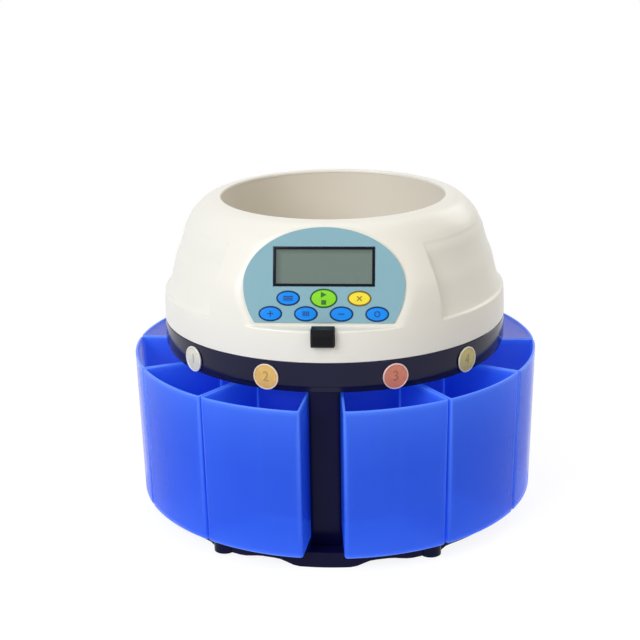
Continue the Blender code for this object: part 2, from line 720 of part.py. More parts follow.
def make_base_body(axis):
    """One moulding: drum, front column and rear housing, with bosses, pillars and pegs inside"""
    inner = DRUM_RADIUS - HOUSING_WALL
    bore = BEARING_RADIUS + TOUCH_GAP
    body = piece("base_body", turned([
        (DRUM_RADIUS, STAND_LEVEL), (DRUM_RADIUS, DECK_TOP), (bore, DECK_TOP),
        (bore, DECK_UNDERSIDE), (inner, DECK_UNDERSIDE), (inner, STAND_LEVEL)]), BLACK, axis)
    for name, outline in (("column", column_outline), ("housing", housing_outline)):
        skin = prism(outline(0.0, DRUM_RADIUS - HOUSING_WALL / 2.0), STAND_LEVEL, DECK_TOP)
        core = prism(outline(HOUSING_WALL, DRUM_RADIUS), STAND_LEVEL - OVERRUN, DECK_TOP - HOUSING_WALL)
        combine(body, tool(name + "_skin", skin, axis), "UNION")
        combine(body, tool(name + "_core", core, axis), "DIFFERENCE")

    bosses = around(lambda: rod(BOSS_RADIUS, STAND_LEVEL + TOUCH_GAP, STAND_LEVEL + BOSS_HEIGHT),
                    BOSS_CIRCLE, QUARTERS)
    pillars = around(lambda: stud(BOSS_RADIUS, DECK_UNDERSIDE + SINK, CHASSIS_TOP + TOUCH_GAP,
                                  CHASSIS_UNDERSIDE - PEG_REACH), PILLAR_CIRCLE, QUARTERS)
    pegs = around(lambda: rod(PEG_RADIUS, DECK_TOP - SINK, RING_FLOOR_TOP + PEG_REACH),
                  RING_PEG_CIRCLE, QUARTERS)
    combine(body, tool("body_studs", together(bosses, pillars, pegs), axis), "UNION")
    holes = around(lambda: rod(SCREW_RADIUS + TOUCH_GAP, STAND_LEVEL - OVERRUN,
                               STAND_LEVEL + SCREW_LENGTH + SINK), BOSS_CIRCLE, QUARTERS)
    cuts = together(holes, socket_cut(INLET_WIDTH, INLET_HEIGHT, INLET_PLACE),
                    socket_cut(DATA_WIDTH, DATA_HEIGHT, DATA_PLACE),
                    socket_cut(BEZEL_WIDTH, BEZEL_HEIGHT, 0.0))
    combine(body, tool("body_cuts", cuts, axis), "DIFFERENCE")


def socket_mesh(width, height, depth):
    """A socket body that goes in through the rear wall, with a flange outside it"""
    def frame_at(grow, back):
        half_width, half_height = width / 2.0 + grow, height / 2.0 + grow
        corners = rectangle(-half_width, half_width, -half_height, half_height)
        return [(across, back, up) for across, up in corners]

    return lofted([frame_at(0.0, -depth), frame_at(0.0, TOUCH_GAP), frame_at(SOCKET_LIP, TOUCH_GAP),
                   frame_at(SOCKET_LIP, TOUCH_GAP + SOCKET_FLANGE)])


def make_socket(name, place, size, wall, finish, axis):
    """A hollow socket in the rear wall"""
    width, height, depth = size
    frame = empty(name + "_place", axis, (place, REAR_FLAT_DISTANCE, SOCKET_HEIGHT))
    socket = piece(name, socket_mesh(width, height, depth), finish, frame)
    mouth = block(wall - width / 2.0, width / 2.0 - wall, wall - depth, TOUCH_GAP + SOCKET_FLANGE + OVERRUN,
                  wall - height / 2.0, height / 2.0 - wall)
    combine(socket, tool(name + "_mouth", mouth, frame), "DIFFERENCE")
    return socket, frame


def make_sockets(axis):
    """Power inlet with its blades, data socket, and the rocker switch in its bezel"""
    inlet, frame = make_socket("power_inlet", INLET_PLACE, (INLET_WIDTH, INLET_HEIGHT, INLET_DEPTH),
                               INLET_WALL, SENSOR_BLACK, axis)
    half_width, half_height = BLADE_WIDTH / 2.0, BLADE_HEIGHT / 2.0
    blades = together(*[block(shift - half_width, shift + half_width, INLET_WALL - SINK - INLET_DEPTH, -SINK,
                              -half_height, half_height) for shift in (-BLADE_PITCH, 0.0, BLADE_PITCH)])
    combine(inlet, tool("inlet_blades", blades, frame), "UNION")
    make_socket("data_socket", DATA_PLACE, (DATA_WIDTH, DATA_HEIGHT, DATA_DEPTH), ROCKER_WALL, STEEL, axis)
    bezel, frame = make_socket("switch_bezel", 0.0, (BEZEL_WIDTH, BEZEL_HEIGHT, ROCKER_DEPTH + 2.0 * ROCKER_WALL),
                               ROCKER_WALL, SENSOR_BLACK, axis)

    half = ROCKER_HEIGHT / 2.0
    crown = SOCKET_FLANGE / 2.0
    horn = crown + half * math.tan(ROCKER_TILT)
    outline = [(horn, -half), (crown, 0.0), (horn, half), (-ROCKER_DEPTH / 2.0, half / 2.0),
               (-ROCKER_DEPTH / 2.0, -half / 2.0)]
    rocker = piece("power_rocker", across_prism(outline, -ROCKER_WIDTH / 2.0, ROCKER_WIDTH / 2.0), BLACK, frame)
    rocker.rotation_euler.x = ROCKER_TILT


def make_power_board(axis):
    """The supply board on its standoffs, with a transformer and a capacitor on it"""
    low = TRAY_TOP + POWER_BOARD_LIFT + TOUCH_GAP
    top = low + BOARD_THICKNESS
    half = POWER_BOARD_WIDTH / 2.0
    board = piece("power_board", block(-half, half, POWER_BOARD_FRONT, POWER_BOARD_BACK, low, top),
                  BOARD_GREEN, axis)
    middle = (POWER_BOARD_FRONT + POWER_BOARD_BACK) / 2.0
    core = moved(block(-TRANSFORMER_WIDTH / 2.0, TRANSFORMER_WIDTH / 2.0, -TRANSFORMER_DEPTH / 2.0,
                       TRANSFORMER_DEPTH / 2.0, top - SINK, top + TRANSFORMER_HEIGHT), 0.0, middle)
    cans = [moved(rod(CAPACITOR_RADIUS, top - SINK, top + CAPACITOR_HEIGHT),
                  side * (half - 2.0 * CAPACITOR_RADIUS), middle) for side in (-1.0, 1.0)]
    combine(board, tool("board_parts", together(core, *cans), axis), "UNION")


def make_chassis(axis):
    """The steel plate staked under the deck"""
    plate = piece("chassis_plate", rod(CHASSIS_RADIUS, CHASSIS_UNDERSIDE, CHASSIS_TOP, MIDDLE_STEPS),
                  STEEL, axis)
    low, high = CHASSIS_UNDERSIDE - OVERRUN, CHASSIS_TOP + OVERRUN
    bore = rod(BEARING_RADIUS + TOUCH_GAP, low, high, MIDDLE_STEPS)
    motor_hole = moved(rod(MOTOR_SHAFT_HOLE_RADIUS, low, high), 0.0, MOTOR_OFFSET)
    holes = around(lambda: rod(PEG_RADIUS + TOUCH_GAP, low, high), PILLAR_CIRCLE, QUARTERS)
    combine(plate, tool("chassis_holes", together(bore, motor_hole, holes), axis), "DIFFERENCE")


def make_bearings(axis):
    """Two flanged bushes, one down into the chassis plate and one up into the deck"""
    inner = SHAFT_RADIUS + TOUCH_GAP
    outline = [(inner, -BEARING_HEIGHT), (BEARING_RADIUS, -BEARING_HEIGHT), (BEARING_RADIUS, 0.0),
               (BEARING_FLANGE_RADIUS, 0.0), (BEARING_FLANGE_RADIUS, BEARING_FLANGE), (inner, BEARING_FLANGE)]
    lower = piece("lower_bearing", turned(outline, MIDDLE_STEPS), BRONZE, axis)
    lower.location.z = CHASSIS_TOP + TOUCH_GAP
    upper = piece("upper_bearing", turned(outline, MIDDLE_STEPS), BRONZE, axis)
    upper.location.z = DECK_UNDERSIDE - TOUCH_GAP
    upper.rotation_euler.x = HALF_TURN


def pulley_outline(radius, inner):
    """A pulley's outline, flanged above and below the belt"""
    rise = radius + PULLEY_FLANGE_RISE
    return [(inner, PULLEY_BOTTOM), (rise, PULLEY_BOTTOM), (rise, PULLEY_BOTTOM + PULLEY_FLANGE),
            (radius, PULLEY_BOTTOM + PULLEY_FLANGE), (radius, PULLEY_TOP - PULLEY_FLANGE),
            (rise, PULLEY_TOP - PULLEY_FLANGE), (rise, PULLEY_TOP), (inner, PULLEY_TOP)]


def belt_outline(grow):
    """The belt's path round both pulleys, seen from above"""
    large = SHAFT_PULLEY_RADIUS + grow
    small = MOTOR_PULLEY_RADIUS + grow
    lean = math.asin((SHAFT_PULLEY_RADIUS - MOTOR_PULLEY_RADIUS) / MOTOR_OFFSET)
    wrap = arc((0.0, 0.0), large, HALF_TURN - lean, FULL_TURN + lean, MIDDLE_STEPS)
    return wrap + arc((0.0, MOTOR_OFFSET), small, lean, HALF_TURN - lean, MIDDLE_STEPS // 2)


def make_drive(axis):
    """Motor, belt, and the pulley on the motor's own shaft"""
    top = CHASSIS_UNDERSIDE - TOUCH_GAP
    place = empty("motor_axis", axis, (0.0, MOTOR_OFFSET, 0.0))
    low = top - MOTOR_GEARBOX_HEIGHT
    piece("drive_motor", turned([(0.0, low - MOTOR_HEIGHT), (MOTOR_RADIUS, low - MOTOR_HEIGHT),
                                 (MOTOR_RADIUS, low), (MOTOR_GEARBOX_RADIUS, low),
                                 (MOTOR_GEARBOX_RADIUS, top), (0.0, top)], MIDDLE_STEPS),
          MOTOR_GREY, place)
    shaft_low = top + TOUCH_GAP
    outline = pulley_outline(MOTOR_PULLEY_RADIUS, 0.0)
    outline = [(0.0, shaft_low), (MOTOR_SHAFT_RADIUS, shaft_low), (MOTOR_SHAFT_RADIUS, PULLEY_BOTTOM)] \
        + outline[1:-1] + [(MOTOR_SHAFT_RADIUS, PULLEY_TOP),
                           (MOTOR_SHAFT_RADIUS, PULLEY_TOP + MOTOR_SHAFT_REACH),
                           (0.0, PULLEY_TOP + MOTOR_SHAFT_REACH)]
    piece("motor_pulley", turned(outline, MIDDLE_STEPS), WHITE_PLASTIC, place)
    low = PULLEY_BOTTOM + PULLEY_FLANGE + TOUCH_GAP
    high = PULLEY_TOP - PULLEY_FLANGE - TOUCH_GAP
    belt = piece("drive_belt", prism(belt_outline(TOUCH_GAP + BELT_THICKNESS), low, high), RUBBER, axis)
    core = prism(belt_outline(TOUCH_GAP), low - OVERRUN, high + OVERRUN)
    combine(belt, tool("belt_core", core, axis), "DIFFERENCE")


def lug_outline(block_end, low_side):
    """A hinge lug from the side: a round eye about the pin, run into the wall it belongs to"""
    eye = (HINGE_DISTANCE, HINGE_LEVEL)
    if low_side:
        shift = -TOUCH_GAP
        seam = math.asin(shift / HINGE_RADIUS)
        points = arc(eye, HINGE_RADIUS, -QUARTER_TURN, HALF_TURN - seam, HINGE_STEPS)
        far = HINGE_LEVEL - HINGE_RADIUS
    else:
        shift = LID_BOTTOM + TOUCH_GAP - HINGE_LEVEL
        seam = math.asin(shift / HINGE_RADIUS)
        points = arc(eye, HINGE_RADIUS, QUARTER_TURN, -HALF_TURN - seam, HINGE_STEPS)
        far = HINGE_LEVEL + HINGE_RADIUS
    return points + [(block_end, HINGE_LEVEL + shift), (block_end, far)]


def pin_bore(left, right):
    """The hole for the hinge pin, along X"""
    outline = arc((HINGE_DISTANCE, HINGE_LEVEL), HINGE_HOLE_RADIUS, 0.0, FULL_TURN, SMALL_STEPS)[:-1]
    return across_prism(outline, left, right)


def make_ring(axis):
    """The exit ring: floor with chutes, stepped outer wall, hub wall, partitions and hinge lugs"""
    hub_inner = HUB_WALL_RADIUS - HUB_WALL
    ledge_inner = RING_BORE_RADIUS - RING_LEDGE
    bore = BEARING_FLANGE_RADIUS
    step = HUB_WALL_RADIUS + SENSOR_STEP
    step_top = SENSOR_BOARD_BOTTOM - TOUCH_GAP
    body = piece("exit_ring", turned([
        (bore, RING_BOTTOM), (RING_RADIUS - RING_STEP, RING_BOTTOM),
        (RING_RADIUS - RING_STEP, RING_BOTTOM + RING_STEP_HEIGHT),
        (RING_RADIUS, RING_BOTTOM + RING_STEP_HEIGHT), (RING_RADIUS, RING_TOP),
        (RING_BORE_RADIUS, RING_TOP), (RING_BORE_RADIUS, RING_LEDGE_TOP), (ledge_inner, RING_LEDGE_TOP),
        (ledge_inner, RING_FLOOR_TOP), (step, RING_FLOOR_TOP), (step, step_top),
        (HUB_WALL_RADIUS, step_top), (HUB_WALL_RADIUS, RING_LEDGE_TOP),
        (hub_inner, RING_LEDGE_TOP), (hub_inner, RING_FLOOR_TOP), (bore, RING_FLOOR_TOP)]), BLACK, axis)

    edges = [FRONT_EDGE_ANGLE + place * BOX_PITCH for place in range(BOXES_PER_SIDE + 1)]
    half = PARTITION_WALL / 2.0
    walls = [swung(block(-half, half, -ledge_inner - SINK, -SENSOR_BOARD_OUTER - RUN_GAP,
                         RING_FLOOR_TOP - SINK, RING_LEDGE_TOP - TOUCH_GAP), side * edge)
             for edge in edges for side in (-1.0, 1.0)]
    lug_start = HINGE_HALF_KNUCKLE + TOUCH_GAP
    lug = lug_outline(RING_BORE_RADIUS + TOUCH_GAP, True)
    lugs = [across_prism(lug, *sorted((side * lug_start, side * (lug_start + HINGE_LUG_WIDTH))))
            for side in (-1.0, 1.0)]
    combine(body, tool("ring_walls", together(*walls), axis), "UNION")
    combine(body, tool("ring_lugs", together(*lugs), axis), "UNION")

    chute = sector_outline(CHUTE_INNER_RADIUS, CHUTE_OUTER_RADIUS, CHUTE_SWEEP, 0.0, PARTITION_WALL, 2, 1)
    chutes = [swung(prism(chute, RING_BOTTOM - OVERRUN, RING_FLOOR_TOP + OVERRUN), angle)
              for angle in BOX_ANGLES]
    holes = around(lambda: rod(PEG_RADIUS + TOUCH_GAP, RING_BOTTOM - OVERRUN, RING_FLOOR_TOP + OVERRUN),
                   RING_PEG_CIRCLE, QUARTERS)
    lug_end = lug_start + HINGE_LUG_WIDTH + OVERRUN
    strike = block(-STRIKE_WIDTH / 2.0, STRIKE_WIDTH / 2.0, -RING_BORE_RADIUS - STRIKE_DEPTH,
                   -RING_BORE_RADIUS + OVERRUN, PLATE_TOP + RUN_GAP, RING_TOP - RUN_GAP)
    cuts = together(*chutes, holes, pin_bore(-lug_end, lug_end), strike)
    combine(body, tool("ring_cuts", cuts, axis), "DIFFERENCE")

    pin_end = lug_start + HINGE_LUG_WIDTH + TOUCH_GAP
    pin = arc((HINGE_DISTANCE, HINGE_LEVEL), HINGE_PIN_RADIUS, 0.0, FULL_TURN, SMALL_STEPS)[:-1]
    piece("hinge_pin", across_prism(pin, -pin_end, pin_end), STEEL, axis)


def make_labels(axis):
    """Four coin-shaped labels on the ring, over the boxes in front"""
    for number, (angle, metal) in enumerate(zip(LABEL_ANGLES, LABEL_METALS), 1):
        mesh = swung(rod(LABEL_RADIUS, 0.0, LABEL_THICKNESS, MIDDLE_STEPS), QUARTER_TURN, "X")
        disc = piece(f"coin_label_{number}", mesh, LABEL_FINISHES[metal], axis)
        disc.location = polar(RING_RADIUS + TOUCH_GAP, angle, LABEL_LEVEL)
        disc.rotation_euler.z = angle


def make_sorting_plate(axis):
    """The steel plate with one hole over each box, growing from box to box"""
    outer = RING_BORE_RADIUS - TOUCH_GAP
    plate = piece("sorting_plate", ring(PLATE_INNER_RADIUS, outer, PLATE_BOTTOM, PLATE_TOP, ROUND_STEPS),
                  STEEL, axis)
    growth = (LARGEST_HOLE_RADIUS - SMALLEST_HOLE_RADIUS) / (BOX_COUNT - 1)
    holes = [moved(rod(SMALLEST_HOLE_RADIUS + place * growth, PLATE_BOTTOM - OVERRUN,
                       PLATE_TOP + OVERRUN, MIDDLE_STEPS // 2), *polar(SORTING_CIRCLE, angle, 0.0))
             for place, angle in enumerate(BOX_ANGLES)]
    combine(plate, tool("coin_holes", together(*holes), axis), "DIFFERENCE")


def make_sensors(axis):
    """The sensor board on a step of the hub wall, with a sensor on it facing each chute"""
    top = SENSOR_BOARD_BOTTOM + SENSOR_BOARD_THICKNESS
    board = piece("sensor_board", ring(HUB_WALL_RADIUS + TOUCH_GAP, SENSOR_BOARD_OUTER, SENSOR_BOARD_BOTTOM,
                                       top, ROUND_STEPS), BOARD_GREEN, axis)
    half = SENSOR_WIDTH / 2.0
    face = SENSOR_BOARD_OUTER - SENSOR_SETBACK
    sensors = [swung(block(-half, half, -face, SENSOR_DEPTH - face, top - SINK, top + SENSOR_HEIGHT), angle)
               for angle in BOX_ANGLES]
    combine(board, tool("coin_sensors", together(*sensors), axis), "UNION")


def make_rotor(axis):
    """What turns about the upright axis: shaft, pulley, sorting rotor, feed disc and its knob"""
    spindle = empty("rotor_axis", axis)
    shaft_low = CHASSIS_UNDERSIDE - BEARING_HEIGHT
    shaft_top = DISC_TOP + TOUCH_GAP + KNOB_HEIGHT / 2.0
    piece("main_shaft", rod(SHAFT_RADIUS, shaft_low, shaft_top, MIDDLE_STEPS), STEEL, spindle)

    bore = SHAFT_RADIUS + TOUCH_GAP
    hub_low = CHASSIS_TOP + BEARING_FLANGE + 2.0 * TOUCH_GAP
    outline = pulley_outline(SHAFT_PULLEY_RADIUS, bore)
    outline = [(bore, hub_low), (PULLEY_HUB_RADIUS, hub_low), (PULLEY_HUB_RADIUS, PULLEY_BOTTOM)] + outline[1:]
    piece("shaft_pulley", turned(outline, MIDDLE_STEPS), WHITE_PLASTIC, spindle)

    rotor = piece("sorting_rotor", turned([
        (bore, ROTOR_BOTTOM), (ROTOR_RADIUS, ROTOR_BOTTOM), (ROTOR_RADIUS, ROTOR_TOP),
        (DISC_HUB_RADIUS, ROTOR_TOP), (DISC_HUB_RADIUS, DISC_BOTTOM - TOUCH_GAP),
        (bore, DISC_BOTTOM - TOUCH_GAP)]), WHITE_PLASTIC, spindle)
    half = ROTOR_FIN_WIDTH / 2.0
    fins = [swung(block(-half, half, -ROTOR_FIN_RADIUS, -ROTOR_FIN_ROOT,
                        ROTOR_BOTTOM + TOUCH_GAP, ROTOR_BOTTOM + ROTOR_FIN_HEIGHT),
                  FULL_TURN * place / ROTOR_FIN_COUNT) for place in range(ROTOR_FIN_COUNT)]
    combine(rotor, tool("rotor_fins", together(*fins), spindle), "UNION")

    disc = piece("feed_disc", turned([(bore, DISC_BOTTOM), (DISC_RADIUS, DISC_BOTTOM),
                                      (DISC_RADIUS, DISC_TOP), (bore, DISC_TOP)]), WHITE_PLASTIC, spindle)
    half = DISC_RIB_WIDTH / 2.0
    ribs = [swung(block(-half, half, -DISC_RADIUS + DISC_RIB_ROOT, -DISC_RIB_ROOT,
                        DISC_TOP - SINK, DISC_TOP + DISC_RIB_RISE), FULL_TURN * place / DISC_RIB_COUNT)
            for place in range(DISC_RIB_COUNT)]
    combine(disc, tool("disc_ribs", together(*ribs), spindle), "UNION")

    low = DISC_TOP + TOUCH_GAP
    top = low + KNOB_HEIGHT
    knob_bore_top = shaft_top + TOUCH_GAP
    piece("hopper_knob", turned([
        (0.0, knob_bore_top), (bore, knob_bore_top), (bore, low), (KNOB_RADIUS, low),
        (KNOB_RADIUS, low + KNOB_HEIGHT / 2.0), (KNOB_RADIUS / 2.0, top), (0.0, top)], MIDDLE_STEPS),
          BLACK, spindle)


def lid_point(shares):
    """A point of the lid's outline from its shares of the shoulder and the height"""
    outward, upward = shares
    return (MOUTH_RADIUS + outward * (LID_RADIUS - MOUTH_RADIUS), LID_BOTTOM + upward * LID_HEIGHT)


def share_at(height_share):
    """The lid's radius share at a height share"""
    for (near, low), (far, high) in zip(LID_SHARES, LID_SHARES[1:]):
        if low <= height_share <= high:
            return near + (far - near) * (height_share - low) / (high - low)
    return 0.0


def inset_outline(points, inset):
    """An outline moved inwards by the same distance everywhere, its corners mitred"""
    normals = []
    for (radius, height), (next_radius, next_height) in zip(points, points[1:]):
        length = math.hypot(next_radius - radius, next_height - height)
        normals.append(((height - next_height) / length, (next_radius - radius) / length))
    mitred = []
    for (radius, height), before, after in zip(points, normals[:1] + normals, normals + normals[-1:]):
        spread = 1.0 + before[0] * after[0] + before[1] * after[1]
        mitred.append((radius + inset * (before[0] + after[0]) / spread,
                       height + inset * (before[1] + after[1]) / spread))
    return mitred


def lid_core():
    """The hollow inside the lid, one wall inside the recessed outline"""
    ledge, recess_high = RECESS_SHARES[0][1], RECESS_SHARES[-1][1]
    below = [shares for shares in LID_SHARES if shares[1] < ledge] + [(share_at(ledge), ledge)]
    above = [shares for shares in LID_SHARES if shares[0] < RECESS_SHARES[-1][0] and shares[1] > recess_high]
    outline = inset_outline([lid_point(shares) for shares in below + RECESS_SHARES + above], LID_WALL)
    ceiling = LID_TOP - LID_WALL
    outline = [(radius, min(height, ceiling)) for radius, height in outline]
    foot = (outline[0][0], LID_BOTTOM - OVERRUN)
    return turned([(0.0, foot[1]), foot] + outline + [(0.0, outline[-1][1])])


def recess_tool():
    """What hollows the lid's +X side, from a slanted front edge round to the rear"""
    lowest, highest = RECESS_SHARES[0][1], RECESS_SHARES[-1][1]
    rings = []
    for shares in RECESS_SHARES:
        radius, height = lid_point(shares)
        climb = (shares[1] - lowest) / (highest - lowest)
        front = RECESS_FRONT_LOW + (RECESS_FRONT_HIGH - RECESS_FRONT_LOW) * climb
        turns = [front + (RECESS_REAR - front) * step / RECESS_STEPS for step in range(RECESS_STEPS + 1)]
        inner = [polar(radius, turn, height) for turn in turns]
        outer = [polar(LID_RADIUS + OVERRUN, turn, height) for turn in reversed(turns)]
        rings.append(inner + outer)
    return lofted(rings)


def mirrored(bm):
    """The same body on the other side of the machine"""
    bmesh.ops.scale(bm, verts=bm.verts, vec=(-1.0, 1.0, 1.0))
    bmesh.ops.reverse_faces(bm, faces=bm.faces)
    return bm


def facet_tool(inset, level):
    """What cuts the flat facet off a dome, down to a level"""
    high = LID_TOP + OVERRUN
    front = LID_RADIUS + OVERRUN

    def plane(height):
        lean = (height - PANEL_BASE) * math.tan(FACET_TILT)
        return (inset / math.cos(FACET_TILT) - FACET_DISTANCE + lean, height)

    outline = [plane(level), plane(high), (-front, high), (-front, level)]
    return across_prism(outline, -FACET_WIDTH / 2.0, FACET_WIDTH / 2.0)


def key_places():
    """Each key's name, place on the facet, width, height and colour"""
    small = (KEY_WIDTH, KEY_HEIGHT)
    start = (START_KEY_WIDTH, START_KEY_HEIGHT)
    return [
        ("key_print", -2.0 * KEY_PITCH, UPPER_ROW, small, KEY_BLUE),
        ("key_start_stop", 0.0, UPPER_ROW, start, KEY_GREEN),
        ("key_clear", 2.0 * KEY_PITCH, UPPER_ROW, small, KEY_YELLOW),
        ("key_plus", -3.0 * KEY_PITCH, LOWER_ROW, small, KEY_BLUE),
        ("key_batch", -KEY_PITCH, LOWER_ROW, small, KEY_BLUE),
        ("key_minus", KEY_PITCH, LOWER_ROW, small, KEY_BLUE),
        ("key_set", 3.0 * KEY_PITCH, LOWER_ROW, small, KEY_BLUE),
    ]


def key_holes(low, high, room):
    """An elliptical hole for each key"""
    return [moved(prism(ellipse(width + 2.0 * room, height + 2.0 * room, KEY_STEPS), low, high), across, along)
            for name, across, along, (width, height), finish in key_places()]


def board_studs(make):
    """A copy of a mesh at each stud of the control board"""
    places = [(side * across, along) for across, along in (BOARD_STUD_LOW, BOARD_STUD_HIGH)
              for side in (-1.0, 1.0)]
    return together(*[moved(make(), across, along) for across, along in places])


def latch_box(room, front, back):
    """The catch's outline from the front, grown by a room"""
    half = LATCH_WIDTH / 2.0 + room
    top = SHELF_LEVEL + LATCH_TOP_RISE
    return block(-half, half, front, back, top - LATCH_HEIGHT - room, top + room)


def make_lid(lid_axis, facet):
    """The lid: a hollow dome with a facet, a shelf, side recesses, openings, bosses and a hinge eye"""
    outline = [lid_point(shares) for shares in LID_SHARES]
    lid = piece("top_cover", turned([(0.0, LID_BOTTOM)] + outline + [(0.0, LID_TOP)]), CREAM, lid_axis)
    combine(lid, tool("side_recesses", together(recess_tool(), mirrored(recess_tool())), lid_axis),
            "DIFFERENCE")
    combine(lid, tool("facet_cut", facet_tool(0.0, SHELF_LEVEL), lid_axis), "DIFFERENCE")

    core = tool("lid_core", lid_core(), lid_axis)
    combine(core, tool("core_facet", facet_tool(LID_WALL, SHELF_LEVEL - LID_WALL), lid_axis), "DIFFERENCE")
    tab_top = BOWL_TOP - BOWL_TAB_DROP
    studs = around(lambda: stud(BOWL_TAB_RADIUS, LID_TOP + OVERRUN, tab_top + TOUCH_GAP,
                                tab_top - BOWL_TAB_THICKNESS - PEG_REACH), BOWL_TAB_CIRCLE, BOWL_TAB_ANGLES)
    combine(core, tool("bowl_studs", studs, lid_axis), "DIFFERENCE")
    studs = board_studs(lambda: stud(BOARD_STUD_RADIUS, OVERRUN, BOARD_TOP + TOUCH_GAP,
                                     BOARD_TOP - BOARD_THICKNESS - PEG_REACH))
    combine(core, tool("board_studs", studs, facet), "DIFFERENCE")
    combine(lid, core, "DIFFERENCE")

    eye = across_prism(lug_outline(LID_RADIUS - LID_WALL / 2.0, False), -HINGE_HALF_KNUCKLE, HINGE_HALF_KNUCKLE)
    combine(lid, tool("lid_eye", eye, lid_axis), "UNION")

    mouth = rod(MOUTH_RADIUS, LID_TOP - LID_WALL - OVERRUN, LID_TOP + OVERRUN, ROUND_STEPS)
    catch_hole = latch_box(SLIDE_GAP, -LID_RADIUS - OVERRUN, -LATCH_FACE + LATCH_DEPTH + LATCH_TRAVEL + RUN_GAP)
    bore_end = HINGE_HALF_KNUCKLE + OVERRUN
    cuts = together(mouth, catch_hole, pin_bore(-bore_end, bore_end))
    combine(lid, tool("lid_cuts", cuts, lid_axis), "DIFFERENCE")

    half_width = DISPLAY_WIDTH / 2.0 - DISPLAY_BORDER
    half_height = DISPLAY_HEIGHT / 2.0 - DISPLAY_BORDER
    window = moved(block(-half_width, half_width, -half_height, half_height, -LID_WALL - OVERRUN, OVERRUN),
                   0.0, DISPLAY_CENTRE)
    holes = key_holes(-LID_WALL - OVERRUN, OVERRUN, SLIDE_GAP)
    combine(lid, tool("facet_cuts", together(window, *holes), facet), "DIFFERENCE")


def panel_outline():
    """The overlay: a half ellipse above its widest line, drawn in to a flat bottom below it"""
    half = PANEL_WIDTH / 2.0
    rise = PANEL_HEIGHT - PANEL_WIDEST
    pinch = PANEL_BOTTOM_WIDTH / PANEL_WIDTH
    drop = PANEL_WIDEST / math.sqrt(1.0 - pinch ** 2)
    low_turn = math.acos(pinch)
    steps = MIDDLE_STEPS
    upper = [(half * math.cos(turn), PANEL_WIDEST + rise * math.sin(turn))
             for turn in (HALF_TURN * step / steps for step in range(steps + 1))]
    side_steps = 4
    left = [(-half * math.cos(turn), PANEL_WIDEST - drop * math.sin(turn))
            for turn in (low_turn * step / side_steps for step in range(1, side_steps + 1))]
    right = [(-across, along) for across, along in reversed(left)]
    return upper + left + right


def make_panel(facet):
    """Overlay, display lens, display module and control board on the facet"""
    top = TOUCH_GAP + PANEL_THICKNESS
    overlay = piece("panel_overlay", prism(panel_outline(), TOUCH_GAP, top), TEAL, facet)
    half_width = DISPLAY_WIDTH / 2.0
    half_height = DISPLAY_HEIGHT / 2.0
    window = moved(block(-half_width - TOUCH_GAP, half_width + TOUCH_GAP, -half_height - TOUCH_GAP,
                         half_height + TOUCH_GAP, -OVERRUN, OVERRUN), 0.0, DISPLAY_CENTRE)
    cuts = together(window, *key_holes(-OVERRUN, OVERRUN, TOUCH_GAP))
    combine(overlay, tool("overlay_cuts", cuts, facet), "DIFFERENCE")

    piece("display_lens", moved(block(-half_width, half_width, -half_height, half_height, TOUCH_GAP, top),
                                0.0, DISPLAY_CENTRE), DISPLAY, facet)

    glass = DISPLAY_BORDER + SLIDE_GAP

    def layer(grow, height):
        corners = rectangle(-half_width - grow, half_width + grow, -half_height - grow, half_height + grow)
        return [(across, DISPLAY_CENTRE + along, height) for across, along in corners]

    shoulder = -LID_WALL - TOUCH_GAP
    piece("display_module", lofted([layer(MODULE_MARGIN, BOARD_TOP + TOUCH_GAP), layer(MODULE_MARGIN, shoulder),
                                    layer(-glass, shoulder), layer(-glass, 0.0)]), MODULE, facet)

    low_edge = BOARD_LOW_EDGE
    board = piece("control_board", block(-BOARD_WIDTH / 2.0, BOARD_WIDTH / 2.0, low_edge,
                                         low_edge + BOARD_HEIGHT, BOARD_TOP - BOARD_THICKNESS, BOARD_TOP),
                  BOARD_GREEN, facet)
    half = SWITCH_SIDE / 2.0
    switches = [moved(block(-half, half, -half, half, BOARD_TOP - SINK, SWITCH_TOP), across, along)
                for name, across, along, size, finish in key_places()]
    combine(board, tool("key_switches", together(*switches), facet), "UNION")
    holes = board_studs(lambda: rod(PEG_RADIUS + TOUCH_GAP, BOARD_TOP - BOARD_THICKNESS - OVERRUN,
                                    BOARD_TOP + OVERRUN))
    combine(board, tool("board_holes", holes, facet), "DIFFERENCE")


def make_keys(facet):
    """Seven keys, each on a frame at its own place, flanged behind the lid's wall"""
    top = TOUCH_GAP + PANEL_THICKNESS + KEY_RISE
    shoulder = -LID_WALL - TOUCH_GAP
    for name, across, along, (width, height), finish in key_places():
        def oval(grow, level):
            return at_height(ellipse(width + 2.0 * grow, height + 2.0 * grow, KEY_STEPS), level)

        key = piece(name, lofted([oval(KEY_FLANGE, KEY_UNDERSIDE), oval(KEY_FLANGE, shoulder),
                                  oval(0.0, shoulder), oval(0.0, top - KEY_CROWN), oval(-KEY_CROWN, top)]),
                    finish, facet)
        key.location = (across, along, 0.0)


